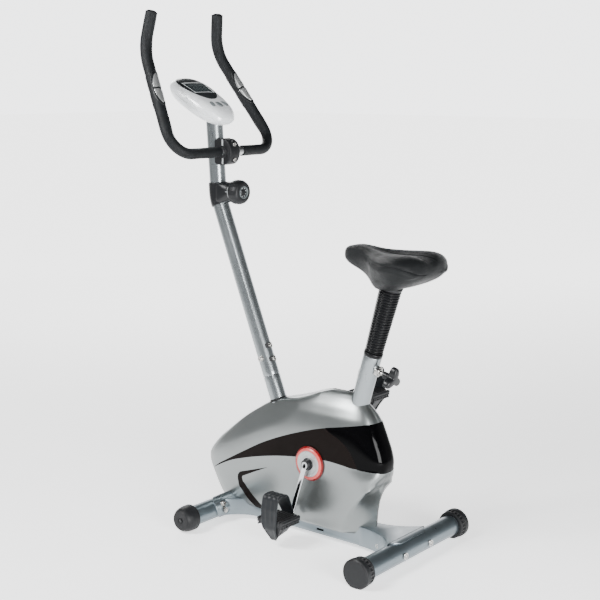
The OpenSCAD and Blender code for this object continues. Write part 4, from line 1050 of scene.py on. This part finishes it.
def saddle():
    rings = []
    n = 84
    for i in range(n + 1):
        t = (1 - cos(PI * i / n)) / 2
        rings.append(saddle_ring(-151.6 - (394.3 - 151.6) * t))
    o = piece("saddle_cushion", loft(rings), None, "vinyl", sharp=180)
    mod = o.modifiers.new("skin", "REMESH")
    mod.mode, mod.voxel_size, mod.use_smooth_shade = "VOXEL", 0.0024, True
    mod = o.modifiers.new("soft", "SMOOTH")
    mod.factor, mod.iterations = 0.5, 7
    mod = o.modifiers.new("fine", "SUBSURF")
    mod.levels = mod.render_levels = 1
    dg = bpy.context.evaluated_depsgraph_get()
    me = bpy.data.meshes.new_from_object(o.evaluated_get(dg))
    o.modifiers.clear()
    o.data = me
    places = [(v.co.copy(), v.normal.copy()) for v in me.vertices]
    for v, (co, normal) in zip(me.vertices, places):
        x, y, z = (c / MM for c in co)
        w, top, dip = (table(SADDLE_X, x, c) for c in (1, 2, 3))
        share = abs(y) / max(w, 1)
        move = 0.0
        if z > top - 16:
            # pressed line of the channel, fading to the nose and the tail
            along = ramp(-x, 238, 40) * ramp(x, -391, 16)
            move -= 1.7 * along * groove(abs(y) - (4 + 0.09 * (-x - 238)), 2.2)
        wide = ramp(-x, 225, 40)
        line = top - (13 + 5.5 * wide) - 3.5 * max(0.0, (-x - 340) / 57)
        move -= 1.5 * wide * groove(z - line, 1.9) * (share > 0.6)
        # soft wrinkles over the whole cushion
        move += 0.25 * noise.noise(Vector((x, y, z)) / 26)
        v.co = co + normal * (move * MM)
    me.shade_smooth()
    me.materials.clear()
    me.materials.append(M["vinyl"])
    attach(o, "seat")
    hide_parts("saddle_pad", "saddle_pan")
    return o


saddle()
piece("saddle_neck_ring", spun([(19.6, -3.0), (26.0, -3.0), (27.6, -0.5), (28.2, 5), (19.6, 5)], 1.0,
    seat_at(648.5), SEAT_UP, 72), "seat", "satin")

# ---------------------------------------------------------------- tension control
sleeve_path = [p for p in resample(mast_path, 3) if 806.5 < p.z < 865.5]
piece("tension_sleeve_body", swept(sleeve_path, lambda t: 24.4 - 0.5 * abs(2 * t - 1) ** 6, 72, wall=3.2,
    end_round=1.2), "frame", "satin", ["tension_sleeve"])
knob_z = 843.0
boss = []
for x, half_y, half_z, power, inset in ((247, 24.0, 26.5, 5, 0), (240, 24.6, 26.8, 5, 0), (233, 25.0, 26.8, 4.2, 0),
        (226, 25.2, 26.4, 3.2, 0), (218, 25.2, 25.8, 2.5, 0), (210, 25.0, 25.0, 2, 0), (206.6, 25.0, 25.0, 2, 0),
        (205.2, 24.2, 24.2, 2, 0), (205, 22, 22, 2, 0)):
    boss.append([Vector((x, half_y * signed(cos(a), 2 / power), knob_z - (x - 205) * 0.10 + half_z * signed(sin(a),
        2 / power))) for a in turn(96)])
piece("tension_boss", loft(boss), "frame", "satin", sharp=45)
at = Vector((204, 0, knob_z))
knob_shape = []
for h, r in ((0.4, 20), (0.4, 27), (1.2, 29.0), (3.5, 30.2), (10, 31.2), (18, 31.0), (24, 29.6), (28, 27.2),
        (30.2, 24.2), (31, 20.5), (31, 17), (30.2, 15.8), (28.6, 15.2), (28.4, 8), (28.4, 0.5)):
    ring = []
    for a in turn(144):
        lobed = 0.55 * (0.5 + 0.5 * cos(18 * a)) if 3 < h < 26 and r > 29 else 0
        ring.append(at - X * h + (Y * cos(a) + Z * sin(a)) * (r - lobed))
    knob_shape.append(ring)
piece("tension_knob_body", loft(knob_shape), "knob", "black", ["tension_knob"], sharp=60)
piece("tension_knob_ring", spun([(12.4, 28.0), (15.4, 28.0), (15.4, 31.6), (14.4, 32.2), (13.4, 31.6),
    (12.4, 29.4)], 0.35, at, -X, 72), "knob", "button")
piece("tension_knob_cap", spun([(0, 27.6), (8.4, 27.6), (8.4, 29.6), (6.8, 30.6), (0, 30.9)], 0.5, at, -X, 48),
    "knob", "satin")
ticks = []
for j in range(8):
    a = 2 * PI * j / 8 + PI / 8
    c = Vector((0, cos(a), sin(a)))
    t = Vector((0, -sin(a), cos(a)))
    size = 1.1 if j % 2 else 0.7
    pts = [at - X * h + c * r + t * w for h in (27.6, 29.1) for r, w in ((9.2, -size), (11.4, -size), (11.4, size),
        (9.2, size))]
    ticks.append(six_sided(pts))
piece("tension_knob_ticks", merge(*ticks), "knob", "trim")
arc = [Vector((206.4, 25.1 * cos(a), knob_z + 25.1 * sin(a))) for a in (radians(-34 + 6 * i) for i in range(12))]
tick = [Vector((206.4 + h, 25.1 * cos(0.05), knob_z + 25.1 * sin(0.05))) for h in (0, 3, 6)]
piece("tension_pointer", merge(swept(arc, 0.8, 12, end_round=0.4), swept(tick, 0.8, 12, end_round=0.4)), "frame",
    "mark")

# ---------------------------------------------------------------- clamp
CLAMP = Vector((229, 0, 943))


def clamp_outline(x0, x1, square):
    """Side outline of a clamp half, as (x, z) about the clamp's middle."""
    if square:
        corners = [(x0, -34), (x1, -31), (x1, 31), (x0, 34)]
        return rounded_flat(corners, [3, 8, 8, 3], 6)
    return [(x1 + (x1 - x0) * cos(a), 32.5 * sin(a)) for a in (radians(90 + 180 * i / 20) for i in range(21))]


base_half = [(x - CLAMP.x, z) for x, z in clamp_outline(230.6, 255, True)]
cap_half = [(x - CLAMP.x, z) for x, z in clamp_outline(199.5, 226.6, False)]
for name, outline, node, half in (("clamp_block", base_half, "clamp_base", 19.0),
        ("clamp_dome", cap_half, "clamp_cap", 18.0)):
    flat = [(z, x) for x, z in outline]
    piece(name, prism(flat, Y, -half, half, CLAMP, Z), "frame", "black", [node], sharp=38, bevel=2.6, segments=4)
split = [(x - CLAMP.x, z) for x, z in ((226.2, -30.5), (231, -30.5), (231, 30.5), (226.2, 30.5))]
piece("clamp_split", prism([(z, x) for x, z in split], Y, -17.2, 17.2, CLAMP, Z), "frame", "mark", sharp=30,
    bevel=0.4)
for s in (-1, 1):
    piece("clamp_collar_" + ("upper" if s > 0 else "lower"), spun([(0, -6), (8.4, -6), (8.4, 0.4), (7.2, 1.4),
        (0, 1.4)], 0.6, Vector((205.6, 0, 943 + 19 * s)), -X, 40), "frame", "black")
    piece("clamp_screw_head_" + ("upper" if s > 0 else "lower"), cap_screw(Vector((204.4, 0, 943 + 19 * s)), -X,
        5.6, 3.4, 2.6, 1.4), "frame", "zinc")
    piece("clamp_lip_" + ("left" if s > 0 else "right"), spun([(11.3, 15), (15.6, 15), (15.6, 19.4), (14.6, 20.6),
        (11.3, 20.6)], 0.6, CLAMP, Y * s, 64), "frame", "black")

# ---------------------------------------------------------------- handlebar
BAR = {}
for s in (-1, 1):
    pts = [CLAMP, Vector((229, 192 * s, 943)), Vector((383, 131 * s, 1195)), Vector((368, 120 * s, 1280))]
    BAR[s] = resample(rounded(pts, [0, 52, 120, 0], n=20), 5)
whole = BAR[-1][::-1] + BAR[1][1:]
piece("handlebar_tube", swept(whole, 11.0, 48, wall=1.6), "handlebar_body", "bar", ["handlebar"])

for s, side in SIDES:
    first = 27 if s > 0 else 50
    path = [p for p in BAR[s] if abs(p.y) >= first or p.z > 960]
    path = [CLAMP + Y * s * first] + [p for p in path if (p - CLAMP).length > first + 2]
    tip = path[-1] + (path[-1] - path[-2]).normalized() * 11
    path = resample(path + [tip], 4)
    lengths = distances(path)
    total = lengths[-1]

    def foam_radius(t, total=total, first=first):
        run = t * total + first
        return 13.4 + 1.7 * ramp(run, 196, 40) + 0.12 * sin(run / 9.0) + 0.1 * sin(run / 23.0)

    piece("foam_sleeve_" + side, swept(path, foam_radius, 56, end_round=9.0), "handlebar_body", "foam",
        ["foam_grips"])

    a, b = Vector((229, 192 * s, 943)), Vector((383, 131 * s, 1195))
    d = (b - a).normalized()
    from_rider = (Vector((-1, 0, 0.25)) - d * Vector((-1, 0, 0.25)).dot(d)).normalized()
    for facing, label in ((from_rider, "inner"), (-from_rider, "outer")):
        across = d.cross(facing)
        for part, (t0, t1) in enumerate(((0.0, 0.47), (0.53, 1.0))):
            rings = []
            n = 30
            for i in range(n + 1):
                t = t0 + (t1 - t0) * i / n
                open_angle = radians(58) * max(0.02, sin(PI * min(1, max(0, t)))) ** 0.62
                centre = a + d * (140 + 84 * t)
                ends = min(i, n - i) / 2.0
                lift = 1.5 if ends > 1 else 0.7 + 0.8 * ends
                low, high = [], []
                for j in range(17):
                    w = (j / 16 * 2 - 1)
                    ang = w * open_angle
                    direction = facing * cos(ang) + across * sin(ang)
                    crown = lift * (1 - 0.45 * abs(w) ** 5)
                    high.append(centre + direction * (15.05 + crown))
                    low.append(centre + direction * 14.2)
                rings.append(high + low[::-1])
            piece(f"pulse_plate_{side}_{label}_{part}", loft(rings), "handlebar_body", "disc", ["pulse_sensors"],
                sharp=50)
        # moulded outline round the pair of plates
        outline = []
        n = 64
        for a2 in turn(n):
            t = 0.5 - 0.58 * cos(a2)
            open_angle = radians(70) * sin(a2)
            centre = a + d * (140 + 84 * t)
            direction = facing * cos(open_angle) + across * sin(open_angle)
            outline.append(centre + direction * 15.2)
        rings = []
        for i in range(n):
            p, q = outline[i], outline[(i + 1) % n]
            along = (q - outline[i - 1]).normalized()
            out = (p - (a + d * (p - a).dot(d))).normalized()
            flat = along.cross(out)
            rings.append([p + out * (1.0 * sin(x)) + flat * (1.3 * cos(x)) for x in turn(10)])
        piece(f"pulse_outline_{side}_{label}", loft(rings, loop=True), "handlebar_body", "satin")

# ---------------------------------------------------------------- console
SEAT = Vector((310, 0, 1065))
CU = Vector((cos(radians(30)), 0, sin(radians(30))))
CW = Vector((-sin(radians(30)), 0, cos(radians(30))))
TOP_FORM = [(0, 25.2), (0.35, 25.0), (0.6, 24.3), (0.74, 22.9), (0.84, 20.3), (0.91, 16.4), (0.96, 11.2),
    (0.985, 6.6), (1.0, 1.4)]
LOW_FORM = [(0, -25.0), (0.4, -24.6), (0.6, -23.4), (0.76, -20.6), (0.87, -15.6), (0.94, -10.0), (0.978, -5.0),
    (0.99, -1.4)]


def egg_point(a, k):
    c, q = signed(cos(a), 0.8), signed(sin(a), 0.8)
    return 100 * k * c, 61 * k * q * (1 + 0.12 * c)


def console_at(u, v, w):
    return SEAT + CU * u + Y * v + CW * w


def console_height(u, v):
    k = 0.7
    for _ in range(6):
        c = max(-1.0, min(1.0, u / (100 * k)))
        k = max(0.02, (abs(u / 100) ** 2.5 + abs(v / (61 * (1 + 0.12 * c))) ** 2.5) ** 0.4)
    return table(TOP_FORM, k, 1)


def console_ring(k, w):
    """Outline of the console at a share k of its size and a height w."""
    return [console_at(*egg_point(a, k), w) for a in turn(144)]


def console_form(form):
    steps = []
    for i in range(len(form) - 1):
        for j in range(4):
            steps.append(form[i][0] + (form[i + 1][0] - form[i][0]) * j / 4)
    steps.append(form[-1][0])
    return [console_ring(k, table(form, k, 1)) for k in steps[1:]]


top_rings = console_form(TOP_FORM)
low_rings = console_form(LOW_FORM)
lip = [console_ring(k, w) for k, w in ((1.0, 0.7), (0.985, 0.3), (0.9, 0.3))]
piece("console_upper", loft(top_rings + lip), "frame", "white", ["console_front"], sharp=50)
lip = [console_ring(k, w) for k, w in ((0.99, -0.7), (0.975, -0.2), (0.9, -0.2))]
piece("console_lower", loft(low_rings + lip), "frame", "white", ["console_back"], sharp=50)


def console_patch(outline, lift, sink=1.2, rings=14):
    """Closed film on the console's top, inside an outline of (u, v) points."""
    cu, cv = (sum(p[c] for p in outline) / len(outline) for c in (0, 1))
    tops = []
    for i in range(1, rings + 1):
        f = i / rings
        tops.append([(cu + (u - cu) * f, cv + (v - cv) * f) for u, v in outline])
    high = [[console_at(u, v, console_height(u, v) + lift) for u, v in row] for row in tops]
    low = [[console_at(u, v, console_height(u, v) - sink) for u, v in row] for row in tops[::-1]]
    return loft(high + low)


fascia = []
for a in turn(120):
    c, q = cos(a), sin(a)
    u = 34 + (56 if c > 0 else 60) * signed(c, 0.92)
    v = (49 + 5.5 * c) * signed(q, 0.85) * (1.0 if c > 0 else 1 - 0.16 * c * c)
    fascia.append((u, v))
piece("console_fascia_film", console_patch(fascia, 0.5), "frame", "bezel", ["console_window"], sharp=50)


def strip(u0, v0, u1, v1, half, lift):
    """Flat raised line on the console's top."""
    n = 14
    d = Vector((u1 - u0, v1 - v0, 0)).normalized()
    side = Vector((-d.y, d.x, 0)) * half
    rings = []
    for i in range(n + 1):
        u, v = u0 + (u1 - u0) * i / n, v0 + (v1 - v0) * i / n
        ring = []
        for m, h in ((-1, -0.8), (-1, lift), (1, lift), (1, -0.8)):
            a, b = u + side.x * m, v + side.y * m
            ring.append(console_at(a, b, console_height(a, b) + h))
        rings.append(ring)
    return loft(rings)


screen = rounded_flat([(52, -37), (52, 37), (8, 33), (8, -33)], 4, 8)
piece("console_screen_glass", console_patch(screen, 0.75), "frame", "screen", sharp=50)
edges = [strip(53.5, -39, 53.5, 39, 1.5, 1.1), strip(6.5, -34.5, 6.5, 34.5, 0.8, 0.95),
    strip(54.5, -38.6, 5.7, -34.2, 1.9, 1.1), strip(54.5, 38.6, 5.7, 34.2, 0.7, 0.95)]
piece("console_screen_frame", merge(*edges), "frame", "trim")
digits = []
for row, (u, half_u, step, count) in enumerate(((40, 4.6, 9.5, 6), (22, 7.0, 12.5, 4))):
    for i in range(count):
        v = (i - (count - 1) / 2) * step
        w = step * 0.28
        for a, b, c, d2 in ((u + half_u, v - w, u + half_u, v + w), (u, v - w, u, v + w),
                (u - half_u, v - w, u - half_u, v + w), (u - half_u, v - w, u + half_u, v - w),
                (u - half_u, v + w, u + half_u, v + w)):
            digits.append(strip(a, b, c, d2, 0.5, 0.95))
piece("console_segments", merge(*digits), "frame", "segment")
marks = [strip(72, v - 7, 72, v + 7, 1.0, 0.75) for v in (-22, 0, 22)] + [strip(67, v - 4, 67, v + 4, 0.6,
    0.75) for v in (-22, 0, 22)]
piece("console_marks", merge(*marks), "frame", "segment")

for name, v, u, half_u, half_v in (("left", 22, -48, 9.2, 5.2), ("middle", 0, -51, 9.8, 7.6),
        ("right", -22, -48, 9.2, 5.2)):
    def key_loop(wide_u, wide_v):
        """Rounded outline about the key, leaning with its side of the console."""
        sides = ((wide_u * signed(cos(a), 0.8), wide_v * signed(sin(a), 0.8)) for a in turn(64))
        return [(u + du, v + dv - 0.10 * v * du / half_u) for du, dv in sides]

    rings = []
    for k, h in ((0.98, -6), (1.0, 0.2), (0.99, 0.9), (0.94, 1.5), (0.82, 1.9), (0.6, 2.15), (0.3, 2.3)):
        rings.append([console_at(a, b, console_height(u, v) + h) for a, b in key_loop(half_u * k, half_v * k)])
    piece("console_key_" + name, loft(rings), f"button_{name}_body", "button", ["button_" + name], sharp=50)
    piece("console_key_gap_" + name, console_patch(key_loop(half_u + 1.1, half_v + 1.1), 0.12, rings=5), "frame",
        "bezel", sharp=50)
